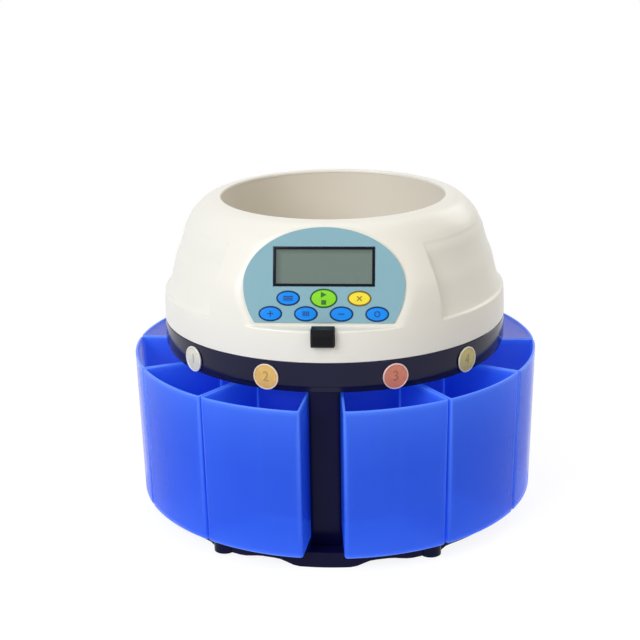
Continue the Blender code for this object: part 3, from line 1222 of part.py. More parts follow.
def make_bowl(lid_axis):
    """The hopper bowl and the tabs by which it is staked to the lid"""
    top_inner = MOUTH_RADIUS + TOUCH_GAP
    bowl = piece("hopper_bowl", turned([
        (top_inner, BOWL_TOP), (BOWL_FOOT_RADIUS, BOWL_BOTTOM), (BOWL_FOOT_RADIUS + BOWL_WALL, BOWL_BOTTOM),
        (top_inner + BOWL_WALL, BOWL_TOP)]), BOWL_CREAM, lid_axis)
    tab_top = BOWL_TOP - BOWL_TAB_DROP
    tab_low = tab_top - BOWL_TAB_THICKNESS
    wall = top_inner + BOWL_WALL / 2.0
    half = BOWL_TAB_RADIUS
    tabs = []
    for angle in BOWL_TAB_ANGLES:
        tip = arc((0.0, -BOWL_TAB_CIRCLE), half, HALF_TURN, FULL_TURN, SMALL_STEPS // 2)
        shape = tip + [(half, -wall), (-half, -wall)]
        tabs.append(swung(prism(shape, tab_low, tab_top), angle))
    combine(bowl, tool("bowl_tabs", together(*tabs), lid_axis), "UNION")
    holes = around(lambda: rod(PEG_RADIUS + TOUCH_GAP, tab_low - OVERRUN, tab_top + OVERRUN),
                   BOWL_TAB_CIRCLE, BOWL_TAB_ANGLES)
    combine(bowl, tool("tab_holes", holes, lid_axis), "DIFFERENCE")


def make_latch(lid_axis):
    """The catch: a bevelled button, a flange behind the lid's wall and an arm down to the ring"""
    half = LATCH_WIDTH / 2.0
    top = SHELF_LEVEL + LATCH_TOP_RISE
    low = top - LATCH_HEIGHT
    back = -LATCH_FACE + LATCH_DEPTH

    def frame_at(side_in, top_in, along):
        corners = rectangle(-half + side_in, half - side_in, low + side_in, top - top_in)
        return [(across, along, up) for across, up in corners]

    left_over = LATCH_TOP_BEVEL * (1.0 - LATCH_SIDE_BEVEL / LATCH_TOP_BEVEL_DEPTH)
    button = lofted([frame_at(LATCH_SIDE_BEVEL, LATCH_TOP_BEVEL, -LATCH_FACE),
                     frame_at(0.0, left_over, LATCH_SIDE_BEVEL - LATCH_FACE),
                     frame_at(0.0, 0.0, LATCH_TOP_BEVEL_DEPTH - LATCH_FACE), frame_at(0.0, 0.0, back)])
    latch = piece("latch_button", button, LATCH_BLACK, lid_axis)
    flange_front = -LID_RADIUS + LID_WALL + 2.0 * RUN_GAP
    flange_half = half + LATCH_FLANGE
    flange_top = SHELF_LEVEL - LID_WALL - RUN_GAP
    flange = block(-flange_half, flange_half, flange_front, flange_front + LATCH_FLANGE_THICKNESS,
                   flange_top - LATCH_FLANGE_HEIGHT, flange_top)
    combine(latch, tool("latch_flange", flange, lid_axis), "UNION")
    arm_front = -RING_BORE_RADIUS + RUN_GAP
    arm_low = PLATE_TOP + RUN_GAP
    arm_half = LATCH_ARM_WIDTH / 2.0
    arm = block(-arm_half, arm_half, arm_front, arm_front + LATCH_ARM_THICKNESS, arm_low, flange_top - SINK)
    combine(latch, tool("latch_arm", arm, lid_axis), "UNION")
    nose = block(-arm_half + LATCH_NOSE, arm_half - LATCH_NOSE, arm_front - LATCH_NOSE, arm_front + SINK,
                 arm_low + LATCH_NOSE, arm_low + LATCH_NOSE_HEIGHT)
    combine(latch, tool("latch_nose", nose, lid_axis), "UNION")


def main():
    """Clear the scene and build the machine"""
    for leftover in list(bpy.data.objects):
        bpy.data.objects.remove(leftover, do_unlink=True)
    axis = empty("machine_axis", location=(0.0, (FRONT_REACH - REAR_REACH) / 2.0, 0.0))
    make_tray(axis)
    make_screws(axis)
    make_feet(axis)
    make_base_body(axis)
    make_sockets(axis)
    make_power_board(axis)
    make_chassis(axis)
    make_bearings(axis)
    make_drive(axis)
    make_ring(axis)
    make_labels(axis)
    make_sorting_plate(axis)
    make_sensors(axis)
    make_rotor(axis)
    make_coin_boxes(axis)
    hinge = empty("lid_hinge", axis, (0.0, HINGE_DISTANCE, HINGE_LEVEL))
    lid_axis = empty("lid_axis", hinge, (0.0, -HINGE_DISTANCE, -HINGE_LEVEL))
    facet = empty("facet", lid_axis, (0.0, -FACET_DISTANCE, PANEL_BASE), tilt=QUARTER_TURN - FACET_TILT)
    bpy.context.view_layer.update()
    make_lid(lid_axis, facet)
    make_panel(facet)
    make_keys(facet)
    make_bowl(lid_axis)
    make_latch(lid_axis)
    bpy.context.view_layer.update()


main()
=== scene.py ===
"""The look of a desktop coin sorter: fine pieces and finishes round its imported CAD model.

Lengths are in metres. Pieces are set out round the machine's upright axis, with turns
counted from the front towards +X, and are moved to the row frame as they are finished.
"""

import json
import math
from functools import partialmethod

import bmesh
import bpy
from bpy.props import FloatProperty, FloatVectorProperty, PointerProperty
from mathutils import Matrix, Vector


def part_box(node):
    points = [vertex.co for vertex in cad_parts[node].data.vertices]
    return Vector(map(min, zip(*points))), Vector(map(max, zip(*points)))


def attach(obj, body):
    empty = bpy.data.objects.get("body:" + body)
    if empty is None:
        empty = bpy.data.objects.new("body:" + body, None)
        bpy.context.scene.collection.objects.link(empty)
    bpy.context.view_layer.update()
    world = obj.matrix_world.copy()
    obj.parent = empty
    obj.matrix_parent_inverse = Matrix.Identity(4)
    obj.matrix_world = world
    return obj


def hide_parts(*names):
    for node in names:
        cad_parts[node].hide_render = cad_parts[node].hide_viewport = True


bl_info = {
    "name": "Coin sorter",
    "version": (1, 0, 0),
    "blender": (4, 5, 0),
    "location": "3D View > Sidebar > Coin sorter",
    "description": "Dresses the packed coin sorter in its fine pieces and finishes",
    "category": "Object",
}

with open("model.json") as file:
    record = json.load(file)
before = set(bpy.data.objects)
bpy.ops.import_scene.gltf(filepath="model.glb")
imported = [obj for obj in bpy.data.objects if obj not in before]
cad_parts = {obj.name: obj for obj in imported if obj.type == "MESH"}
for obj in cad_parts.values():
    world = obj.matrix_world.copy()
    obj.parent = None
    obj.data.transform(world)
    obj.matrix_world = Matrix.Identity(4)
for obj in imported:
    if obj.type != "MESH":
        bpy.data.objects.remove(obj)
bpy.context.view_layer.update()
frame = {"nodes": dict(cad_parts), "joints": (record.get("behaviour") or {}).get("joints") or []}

FULL_TURN = 2.0 * math.pi
HALF_TURN = math.pi
QUARTER_TURN = math.pi / 2.0


def lowest(node):
    """The lowest corner of a CAD node"""
    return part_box(node)[0]


def highest(node):
    """The highest corner of a CAD node"""
    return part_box(node)[1]


def half_span(node):
    """Half of a CAD node's width"""
    return (highest(node).x - lowest(node).x) / 2.0


AXIS_Y = (lowest("sorting_plate").y + highest("sorting_plate").y) / 2.0
BOX_COUNT = sum(name.startswith("coin_box_") for name in frame["nodes"])
LID_TOP = highest("top_cover").z
LID_RADIUS = half_span("top_cover")
RING_BOTTOM = lowest("exit_ring").z
RING_RADIUS = half_span("exit_ring")
BOX_BOTTOM = lowest("coin_box_1").z
BOX_TOP = highest("coin_box_1").z
DRUM_TOP = highest("base_body").z
HINGE = Vector(next(joint["pos_m"] for joint in frame["joints"] if joint["name"] == "lid_hinge"))
HINGE_BACK = HINGE.y - AXIS_Y
TOUCH_GAP = 0.0003
SLIDE_GAP = 0.0005
SINK = 0.001
THROUGH = 0.002
FINE_EDGE = 0.0003
SOFT_EDGE = 0.0006
RING_TOP = HINGE.z
LID_BOTTOM = RING_TOP + TOUCH_GAP
TRAY_TOP = BOX_BOTTOM - TOUCH_GAP
TRAY_RADIUS = half_span("base_tray")
TRAY_BACK = highest("base_tray").y - AXIS_Y
LABEL_THICKNESS = 0.0012
PRINT_THICKNESS = 0.00012
KEY_TOP = 0.002
KEY_DEPTH = 0.0013
ROOT_ROOM = 0.0025
OVERLAY_TOP = 0.0013
HINGE_RADIUS = 0.004
HINGE_HALF = 0.0117
LUG_HALF = 0.008
LUG_PLACE = 0.020
SHAFT_HOLE = 0.0053


def length(name, description, default):
    """A size that a user may change"""
    return FloatProperty(name=name, description=description, default=default, unit="LENGTH",
                         subtype="DISTANCE", precision=4)


def angle(name, description, degrees):
    """A turn that a user may change"""
    return FloatProperty(name=name, description=description, default=math.radians(degrees),
                         unit="ROTATION", subtype="ANGLE")


def colour(name, description, default):
    """A colour that a user may change"""
    return FloatVectorProperty(name=name, description=description, default=default, size=3,
                               min=0.0, max=1.0, subtype="COLOR")


def power(name, description, default):
    """A lamp's power or a light's strength"""
    return FloatProperty(name=name, description=description, default=default, min=0.0)


class LidSizes(bpy.types.PropertyGroup):
    """The domed lid"""

    wall: length("Wall", "Thickness of the lid's shell", 0.0025)
    mouth_radius: length("Mouth radius", "Radius of the hopper's mouth", 0.0973)
    lip: length("Lip", "Rounding of the mouth's edge", 0.0012)
    shelf_level: length("Shelf level", "Height of the shelf and of the recesses' ledges", 0.1988)
    facet_foot: length("Facet foot", "Height from which the keypad is measured", 0.2016)
    catch_bottom: length("Catch bottom", "Height of the catch's lower edge", 0.187)
    catch_top: length("Catch top", "Height of the catch's upper edge", 0.2012)
    catch_bevel: length("Catch bevel", "Height of the bevel on the catch's upper edge", 0.0042)
    catch_drop: length("Catch drop", "How far that edge lies below the CAD's", 0.0024)
    edge_round: length("Edge round", "Rounding of the shelf's outer edge", 0.0014)
    root_round: length("Root round", "Rounding where the shelf meets the facet", 0.0011)
    facet_distance: length("Facet distance", "From the axis to the facet's foot", 0.134)
    facet_tilt: angle("Facet tilt", "How far the facet leans back", 18.0)
    facet_blend: length("Facet blend", "Softness of the facet's edge on the dome", 0.0016)
    recess_front_low: angle("Recess front low", "Front of the side recess, at its ledge", 40.0)
    recess_front_high: angle("Recess front high", "Front of the side recess, at its top", 38.6)
    recess_rear: angle("Recess rear", "Rear of the side recess", 142.0)
    recess_blend: length("Recess blend", "Softness of the recess's upper edge", 0.0008)


class RingSizes(bpy.types.PropertyGroup):
    """The exit ring with its coin labels"""

    step: length("Step", "How far the ring's lower band stands back", 0.002)
    step_height: length("Step height", "Height of the ring's lower band", 0.0051)
    bore_radius: length("Bore radius", "Inside of the ring's upper wall", 0.145)
    ledge: length("Ledge", "Width of the ledge under the sorting plate", 0.003)
    floor: length("Floor", "Thickness of the ring's floor", 0.0025)
    hub_radius: length("Hub radius", "Outside of the wall round the rotor's well", 0.099)
    chute_inner: length("Chute inner", "Inner edge of each coin chute", 0.112)
    chute_outer: length("Chute outer", "Outer edge of each coin chute", 0.140)
    chute_sweep: angle("Chute sweep", "Turn that each coin chute takes up", 12.4)
    label_rim: length("Label rim", "Width of a coin label's raised rim", 0.0009)
    label_sink: length("Label sink", "How far the label's field lies below its rim", 0.00025)


class BoxSizes(bpy.types.PropertyGroup):
    """The eight coin boxes"""

    radius: length("Radius", "Outer radius at the rim", 0.1775)
    inner_radius: length("Inner radius", "Radius of the box's inner wall", 0.107)
    draft: length("Draft", "How much smaller the outer radius is at the floor", 0.0027)
    wall: length("Wall", "Thickness of a box's walls", 0.002)
    corner: length("Corner", "Rounding of the upright corners", 0.003)
    bottom_round: length("Bottom round", "Rounding of the edges round the floor", 0.0022)
    sweep: angle("Sweep", "Turn that a box takes up", 28.9)
    seam: length("Seam", "Gap between two boxes at their rims", 0.0012)
    front_gap: length("Front gap", "Gap between the two front boxes", 0.0343)


class BaseSizes(bpy.types.PropertyGroup):
    """Drum, column, housing, tray and feet"""

    drum_radius: length("Drum radius", "Radius of the centre drum", 0.105)
    housing_radius: length("Housing radius", "Radius of the column and the rear housing", 0.147)
    side_gap: length("Side gap", "Clearance beside the column and the housing", 0.0017)
    rear_flat: length("Rear flat", "Width of the flat at the rear", 0.096)
    wall: length("Wall", "Thickness of the mouldings", 0.0025)
    tray_plate: length("Tray plate", "Thickness of the tray's plate", 0.0025)
    tray_rim: length("Tray rim", "Thickness of the tray's rim", 0.0025)
    tray_lift: length("Tray lift", "Height of the tray's rim over the table", 0.0052)
    lobe_flat: length("Lobe flat", "Half width of the lobe where it rests", 0.021)
    lobe_reach: length("Lobe reach", "Half width over which the lobe fades out", 0.041)
    cup_radius: length("Cup radius", "Outside of the cup round each foot", 0.009)
    cup_bottom: length("Cup bottom", "Height of a cup's mouth over the table", 0.0015)
    foot_dip: length("Foot dip", "How far the rim comes down at a foot", 0.0034)
    foot_flat: length("Foot flat", "Distance from a foot within which the rim is down", 0.017)
    foot_reach: length("Foot reach", "Distance from a foot at which the rim is up again", 0.040)
    foot_taper: length("Foot taper", "How much narrower a foot is at the table", 0.001)


class PanelSizes(bpy.types.PropertyGroup):
    """The keypad on the lid's facet"""

    widest: length("Widest", "Height of the overlay's widest line", 0.0305)
    bottom_width: length("Bottom width", "Width of the overlay's flat bottom", 0.1112)
    display_centre: length("Display centre", "Height of the display's centre", 0.0448)
    display_width: length("Display width", "Width of the display with its frame", 0.081)
    display_height: length("Display height", "Height of the display with its frame", 0.0315)
    display_border: length("Display border", "Width of the display's frame", 0.0021)
    key_pitch: length("Key pitch", "Half of the distance between two keys of a row", 0.0142)
    lower_row: length("Lower row", "Height of the lower row of keys", 0.0071)
    upper_row: length("Upper row", "Height of the upper row of keys", 0.0195)
    key_width: length("Key width", "Width of a small key", 0.0185)
    key_height: length("Key height", "Height of a small key", 0.0118)
    start_width: length("Start width", "Width of the start and stop key", 0.0214)
    start_height: length("Start height", "Height of the start and stop key", 0.0149)
    outline: length("Outline", "Width of the dark line round a key", 0.001)
    stroke: length("Stroke", "Thickness of the lines of the key signs", 0.0008)
    sign: length("Sign", "Half the width of a key's sign", 0.0024)


class FinishColours(bpy.types.PropertyGroup):
    """The colours of the finishes"""

    cream: colour("Cream", "Lid", (0.86, 0.85, 0.79))
    bowl: colour("Bowl", "Hopper bowl", (0.745, 0.70, 0.62))
    black: colour("Black", "Ring, base and tray", (0.0045, 0.0045, 0.034))
    blue: colour("Blue", "Coin boxes", (0.026, 0.125, 0.9))
    # Painted glow: the colour of the light that the coin boxes give off as emission
    glow: colour("Glow", "Light carried in the coin boxes' plastic", (0.006, 0.045, 0.28))
    teal: colour("Teal", "Keypad overlay", (0.235, 0.445, 0.535))
    display: colour("Display", "Blank display cell", (0.15, 0.21, 0.185))
    frame: colour("Frame", "Frame printed round the display", (0.004, 0.006, 0.016))
    key_blue: colour("Key blue", "Blue key caps", (0.006, 0.28, 1.0))
    key_green: colour("Key green", "Start and stop key cap", (0.26, 0.74, 0.03))
    key_yellow: colour("Key yellow", "Clear key cap", (0.95, 0.80, 0.06))
    ink_blue: colour("Ink blue", "Lines on the blue keys", (0.001, 0.035, 0.19))
    ink_green: colour("Ink green", "Lines on the green key", (0.02, 0.14, 0.01))
    ink_yellow: colour("Ink yellow", "Lines on the yellow key", (0.30, 0.17, 0.01))
    silver: colour("Silver", "Silver coin label", (0.80, 0.79, 0.64))
    gold: colour("Gold", "Gold coin label", (0.82, 0.52, 0.15))
    copper: colour("Copper", "Copper coin label", (0.70, 0.24, 0.15))
    brass: colour("Brass", "Brass coin label", (0.60, 0.52, 0.19))


class StageSizes(bpy.types.PropertyGroup):
    """Camera, lamps and floor"""

    camera_place: FloatVectorProperty(name="Camera place", description="Where the camera stands",
                                      default=(0.0809, -1.2218, 0.5524), unit="LENGTH", subtype="TRANSLATION")
    camera_aim: FloatVectorProperty(name="Camera aim", description="The way the camera looks",
                                    default=(-0.0726, 0.9506, -0.3019), subtype="DIRECTION")
    camera_side: FloatVectorProperty(name="Camera side", description="The camera's right-hand side",
                                     default=(0.9973, 0.0711, -0.0161), subtype="DIRECTION")
    lens: FloatProperty(name="Lens", description="Focal length in millimetres on a 36 mm sensor", default=81.6)
    floor_side: length("Floor side", "Side of the square floor", 8.0)
    fade_near: length("Fade near", "Where the floor's shading begins to fade", 0.3)
    fade_far: length("Fade far", "Where the floor is plain white", 0.7)
    sky: power("Sky", "The even light from all round", 0.35)
    key: power("Key", "The lamp at the front left", 32.0)
    fill: power("Fill", "The lamp at the front right", 8.0)
    top: power("Top", "The lamp overhead", 10.0)
    back: power("Back", "The lamp behind", 6.0)


def sizes(group):
    """A group of sizes as they stand"""
    return getattr(bpy.context.scene, "sorter_" + group)


def shade(name):
    """A finish's colour as it stands"""
    return tuple(getattr(sizes("colours"), name))


class Signal:
    """A shader socket on which Python's operators do sums"""

    def __init__(self, nodes, socket):
        self.nodes, self.socket = nodes, socket

    def total(self, operation, other, reflected=False):
        """A sum of this signal and another term, or of the other term and this"""
        terms = (other, self) if reflected else (self, other)
        return self.nodes.node("Math", dict(enumerate(terms)), operation=operation)

    __add__ = __radd__ = partialmethod(total, "ADD")
    __mul__ = __rmul__ = partialmethod(total, "MULTIPLY")
    __sub__ = partialmethod(total, "SUBTRACT")
    __rsub__ = partialmethod(total, "SUBTRACT", reflected=True)
    __truediv__ = partialmethod(total, "DIVIDE")
    __rtruediv__ = partialmethod(total, "DIVIDE", reflected=True)
    __pow__ = partialmethod(total, "POWER")
    __gt__ = partialmethod(total, "GREATER_THAN")
    __lt__ = partialmethod(total, "LESS_THAN")


class Nodes:
    """A node tree, with one method that adds a node of any kind"""

    def __init__(self, tree, clear=True):
        self.tree = tree
        if clear:
            tree.nodes.clear()

    def node(self, kind, sockets=None, output=0, **settings):
        """Adds a node, sets it, gives its sockets their values or links, and returns one output"""
        node = self.tree.nodes.new("ShaderNode" + kind)
        for key, value in settings.items():
            setattr(node, key, value)
        for key, value in (sockets or {}).items():
            if isinstance(value, Signal):
                self.tree.links.new(value.socket, node.inputs[key])
            else:
                node.inputs[key].default_value = value
        return Signal(self, node.outputs[output]) if node.outputs else None

    def seen(self):
        """One for what the lens sees, mirrored and through clear plastic too, and nought for other light"""
        direct, mirrored, through = [self.node("LightPath", output=name) for name in
                                     ("Is Camera Ray", "Is Glossy Ray", "Is Transmission Ray")]
        return (direct + mirrored + through) > 0.5

    def place(self, scale=(1.0, 1.0, 1.0), shift=(0.0, 0.0, 0.0)):
        """Object coordinates, scaled and shifted"""
        whole = self.node("TexCoord", output="Object")
        return self.node("Mapping", {"Vector": whole, "Location": shift, "Scale": scale})

    def reach(self):
        """Distance from the machine's upright axis"""
        where = self.place(shift=(0.0, -AXIS_Y, 0.0))
        across, along = [self.node("SeparateXYZ", {0: where}, output) for output in (0, 1)]
        return (across * across + along * along) ** 0.5


class Finish(Nodes):
    """A material: its shader with its own plain values, and the signals that feed it"""

    def __init__(self, name, base, **values):
        self.material = bpy.data.materials.new(name)
        self.material.use_nodes = True
        super().__init__(self.material.node_tree, clear=False)
        self.shader = self.tree.nodes["Principled BSDF"]
        self.base = base
        self.material.diffuse_color = (*base, 1.0)
        self.shader.inputs["Base Color"].default_value = (*base, 1.0)
        for socket, value in values.items():
            self.shader.inputs[socket.replace("_", " ")].default_value = value

    def feed(self, socket, signal):
        """Links a signal to a socket of the shader"""
        self.tree.links.new(signal.socket, self.shader.inputs[socket])
        return self

    def noise(self, scale, detail=2.0, where=None):
        """Cloudy noise from 0 to 1"""
        return self.node("TexNoise", {"Vector": where or self.place(), "Scale": scale, "Detail": detail})

    def painted(self, name):
        """A value painted on the mesh"""
        return self.node("Attribute", output="Fac", attribute_name=name)

    def blend(self, share, first, second):
        """A colour between two others"""
        return self.node("Mix", {0: share, 6: first, 7: second}, 2, data_type="RGBA", clamp_factor=True)

    def varied(self, share, least, most):
        """The finish's own colour, made darker or lighter between two shares"""
        return self.blend(share, dimmed(self.base, least), dimmed(self.base, most))

    def bump(self, height, distance):
        """Raises the surface by a signal"""
        return self.feed("Normal", self.node("Bump", {"Height": height, "Distance": distance, "Strength": 1.0}))


def dimmed(base, share):
    """A colour made darker or lighter by a share"""
    return (*[min(channel * share, 1.0) for channel in base[:3]], 1.0)


def moulded(name, base, roughness, grain=0.00002, grain_scale=2600.0, mottle=0.03, **values):
    """Moulded plastic: faint clouding, a fine grain and a gloss that varies a little"""
    finish = Finish(name, base, Roughness=roughness, **values)
    finish.feed("Base Color", finish.varied(finish.noise(16.0, 3.0), 1.0 - mottle, 1.0 + mottle))
    finish.feed("Roughness", finish.noise(120.0, 4.0) * (0.3 * roughness) + 0.85 * roughness)
    return finish.bump(finish.noise(grain_scale, 1.0), grain)


def rubber(name):
    """Matt black rubber with a coarse grain"""
    return moulded(name, (0.012, 0.012, 0.014), 0.8, grain=0.00006, grain_scale=900.0, mottle=0.25)


def metal(name, base, roughness, stretch=(1.0, 1.0, 60.0), scale=90.0):
    """Bare metal with drawn or turned lines along one way"""
    finish = Finish(name, base, Roughness=roughness, Metallic=1.0)
    lines = finish.noise(scale, 4.0, finish.place(stretch))
    finish.feed("Base Color", finish.varied(lines, 0.8, 1.12))
    finish.feed("Roughness", lines * (0.5 * roughness) + 0.75 * roughness)
    return finish.bump(lines, 0.00003)


def spun_metal(name, base, roughness):
    """Metal with fine rings turned round the machine's axis"""
    finish = Finish(name, base, Roughness=roughness, Metallic=1.0)
    rings = finish.noise(1.0, 3.0, finish.node("CombineXYZ", {0: finish.reach() * 1500.0}))
    marks = finish.noise(40.0, 5.0)
    finish.feed("Base Color", finish.varied(marks, 0.82, 1.1))
    finish.feed("Roughness", marks * (0.5 * roughness) + rings * (0.3 * roughness) + 0.6 * roughness)
    return finish.bump(rings, 0.00002)


def circuit_board(name):
    """Green lacquer over copper tracks"""
    base = (0.012, 0.13, 0.05)
    finish = Finish(name, base, Roughness=0.35)
    tracks = finish.node("TexBrick", {
        "Vector": finish.place(), "Scale": 120.0, "Mortar Size": 0.012, "Mortar Smooth": 0.2,
        "Brick Width": 1.1, "Row Height": 0.28}, "Fac", offset=0.37, squash=0.6)
    finish.feed("Base Color", finish.blend(tracks, (*base, 1.0), (0.03, 0.26, 0.10, 1.0)))
    finish.feed("Roughness", 0.42 - tracks * 0.12)
    return finish.bump(tracks, 0.00005)


def translucent(name, base, glow, inner_radius):
    """Clear blue plastic that lets light in, with painted light: a painted highlight and a stronger painted glow
    on its rims and corners, a faint painted glow elsewhere, and painted shade on the walls near the axis
    """
    finish = Finish(name, base, Roughness=0.2, Specular_IOR_Level=0.2, Emission_Strength=1.0)
    # The painted "edge" mask places the painted highlight: near one at rims, corners and floor edges
    edge = finish.painted("edge")
    # Painted shade: the walls near the axis get a deeper, darker blue and a weaker painted glow
    outward = (finish.reach() - inner_radius) / 0.06
    body = finish.blend(outward, (0.002, 0.022, 0.8, 1.0), finish.varied(finish.noise(14.0, 3.0), 0.93, 1.07))
    # Painted highlight: the colour turns paler where the edge mask is high
    finish.feed("Base Color", finish.blend(edge * 0.6, body, (0.20, 0.42, 1.0, 1.0)))
    # Painted glow: the plastic gives off light though it is no lamp, weakest near the axis and strongest at rims
    # and corners
    dim = finish.blend(outward, (0.0, 0.003, 0.06, 1.0), dimmed(glow, 0.35))
    finish.feed("Emission Color", finish.blend(edge, dim, (*glow, 1.0)))
    finish.feed("Alpha", edge * 0.35 + 0.5)
    finish.feed("Roughness", finish.noise(70.0, 3.0) * 0.12 + 0.14)
    return finish.bump(finish.noise(900.0, 1.0), 0.000004)


def printed_key(name, base, ink):
    """A glossy key cap with a dark line round it, painted on the cap's rim"""
    finish = Finish(name, base, Roughness=0.3, Specular_IOR_Level=0.25)
    cap = finish.varied(finish.noise(180.0, 3.0), 0.94, 1.06)
    finish.feed("Base Color", finish.blend(finish.painted("rim") > 0.5, cap, (*ink, 1.0)))
    return finish.bump(finish.noise(2400.0, 1.0), 0.00002)


def coin_metal(name, base):
    """Worn coin metal: a pale rim, a clouded field and a darker figure, told apart by the painted tone"""
    finish = Finish(name, base, Roughness=0.36, Metallic=0.25)
    tone = finish.painted("tone")
    stains = finish.noise(260.0, 5.0)
    scratches = finish.noise(700.0, 2.0, finish.place((1.0, 1.0, 6.0)))
    marked = finish.blend(tone < 0.3, finish.varied(stains, 0.8, 1.15), dimmed(base, 0.6))
    pale = [0.5 + 0.5 * channel for channel in base]
    finish.feed("Base Color", finish.blend(tone > 0.7, marked, (*pale, 1.0)))
    finish.feed("Roughness", scratches * 0.25 + 0.28)
    return finish.bump(stains * 0.6 + scratches * 0.4, 0.00006)


def display_cell(name, base):
    """The blank display: a grey-green cell under glass, shaded along its top and left edges"""
    finish = Finish(name, base, Roughness=0.12, Specular_IOR_Level=0.4)
    shadow = finish.node("Math", {0: 1.0 - finish.painted("from_left") * 14.0,
                                  1: 1.0 - finish.painted("from_top") * 7.0}, operation="MAXIMUM", use_clamp=True)
    grain = finish.noise(500.0, 2.0)
    finish.feed("Base Color", finish.blend(shadow * 0.6, finish.varied(grain, 0.95, 1.05), dimmed(base, 0.35)))
    return finish.bump(grain, 0.00001)


def polar(radius, turn, height=0.0):
    """A point by its distance from the axis, its turn from the front and its height"""
    return Vector((radius * math.sin(turn), -radius * math.cos(turn), height))


def clamped(share):
    """A share kept between nought and one"""
    return min(max(share, 0.0), 1.0)


def radius_at(height, profile):
    """The radius at which a rising profile of radii and heights passes a height"""
    for (first, low), (second, high) in zip(profile, profile[1:]):
        if height <= high:
            return first + (second - first) * clamped((height - low) / (high - low))
    return profile[-1][0]


def curve_through(knots, steps):
    """A smooth curve through knots, with some steps between each two"""
    padded = [knots[0], *knots, knots[-1]]
    points = []
    for ends in zip(padded, padded[1:], padded[2:], padded[3:]):
        for share in (step / steps for step in range(steps)):
            points.append([0.5 * (2.0 * b + (c - a) * share + (2.0 * a - 5.0 * b + 4.0 * c - d) * share ** 2
                                  + (3.0 * b - a - 3.0 * c + d) * share ** 3) for a, b, c, d in zip(*ends)])
    return points + [knots[-1]]


def swept(bm, points, closed, steps):
    """Joins points in a line and spins it fully round the axis"""
    edges = [bm.edges.new(pair) for pair in zip(points, points[1:] + points[:1] if closed else points[1:])]
    bmesh.ops.spin(bm, geom=points + edges, cent=(0.0, 0.0, 0.0), axis=(0.0, 0.0, 1.0), angle=FULL_TURN,
                   steps=steps, use_merge=True)


def spun(outline, steps=96, closed=False):
    """A full spin round the axis of an outline of radii and heights"""
    bm = bmesh.new()
    swept(bm, [bm.verts.new((0.0, -radius, height)) for radius, height in outline], closed, steps)
    bmesh.ops.remove_doubles(bm, verts=bm.verts, dist=0.000001)
    bmesh.ops.recalc_face_normals(bm, faces=bm.faces)
    return bm


def plate(outline, low, high):
    """A flat outline raised between two heights"""
    bm = bmesh.new()
    face = bm.faces.new([bm.verts.new((point[0], point[1], low)) for point in outline])
    raised = bmesh.ops.extrude_face_region(bm, geom=[face], use_keep_orig=True)
    top = [item for item in raised["geom"] if isinstance(item, bmesh.types.BMVert)]
    bmesh.ops.translate(bm, verts=top, vec=(0.0, 0.0, high - low))
    bmesh.ops.recalc_face_normals(bm, faces=bm.faces)
    return bm


def block(left, right, front, back, low, high):
    """A box between six planes"""
    bm = bmesh.new()
    bmesh.ops.create_cube(bm, size=1.0)
    bmesh.ops.scale(bm, verts=bm.verts, vec=(right - left, back - front, high - low))
    return shifted(bm, ((left + right) / 2.0, (front + back) / 2.0, (low + high) / 2.0))


def rod(radius, low, high, steps=32):
    """An upright rod"""
    bm = bmesh.new()
    bmesh.ops.create_cone(bm, cap_ends=True, segments=steps, radius1=radius, radius2=radius, depth=high - low)
    return shifted(bm, (0.0, 0.0, (low + high) / 2.0))


def turned(bm, turn, axis="Z"):
    """A mesh turned about an axis"""
    bmesh.ops.rotate(bm, verts=bm.verts, cent=(0.0, 0.0, 0.0), matrix=Matrix.Rotation(turn, 3, axis))
    return bm


def shifted(bm, shift):
    """A mesh moved by a shift"""
    bmesh.ops.translate(bm, verts=bm.verts, vec=shift)
    return bm


def joined(*meshes):
    """Several meshes as one"""
    whole = bmesh.new()
    for bm in meshes:
        scratch = bpy.data.meshes.new("scratch")
        bm.to_mesh(scratch)
        bm.free()
        whole.from_mesh(scratch)
        bpy.data.meshes.remove(scratch)
    return whole


def bevelled(bm, edges, radius, segments, clamp=False):
    """Rounds some edges of a mesh"""
    bmesh.ops.bevel(bm, geom=edges, offset=radius, offset_type="OFFSET", segments=segments, profile=0.5,
                    affect="EDGES", clamp_overlap=clamp, material=-1)
    return bm


def rounded(bm, radius, segments=3, least=40.0):
    """Rounds the edges of a mesh that are sharper than an angle"""
    sharp = [edge for edge in bm.edges if edge.is_manifold and edge.calc_face_angle(0.0) > math.radians(least)]
    return bevelled(bm, sharp, radius, segments, True)


def on_facet(bm, across=0.0, along=0.0, out=0.0):
    """A mesh placed on the facet: across, up along the facet and out of it, from the facet's foot"""
    lid = sizes("lid")
    foot = Matrix.Translation((0.0, -lid.facet_distance, lid.facet_foot))
    turn = Matrix.Rotation(QUARTER_TURN - lid.facet_tilt, 4, "X")
    bmesh.ops.transform(shifted(bm, (across, along, out)), matrix=foot @ turn, verts=bm.verts)
    return bm


def on_hinge(bm, place=0.0):
    """An upright mesh laid along the hinge"""
    return shifted(turned(bm, QUARTER_TURN, "Y"), (place, HINGE_BACK, HINGE.z))


def made(name, bm):
    """An object from a mesh set out round the machine's axis, shaded smooth except at sharp edges"""
    mesh = bpy.data.meshes.new(name)
    shifted(bm, (0.0, AXIS_Y, 0.0)).to_mesh(mesh)
    bm.free()
    mesh.shade_smooth()
    mesh.set_sharp_from_angle(angle=math.radians(32.0))
    thing = bpy.data.objects.new(name, mesh)
    bpy.context.scene.collection.objects.link(thing)
    return thing


def settled(thing):
    """An object's mesh with its modifiers carried out"""
    bpy.context.view_layer.update()
    return bpy.data.meshes.new_from_object(thing.evaluated_get(bpy.context.evaluated_depsgraph_get()))


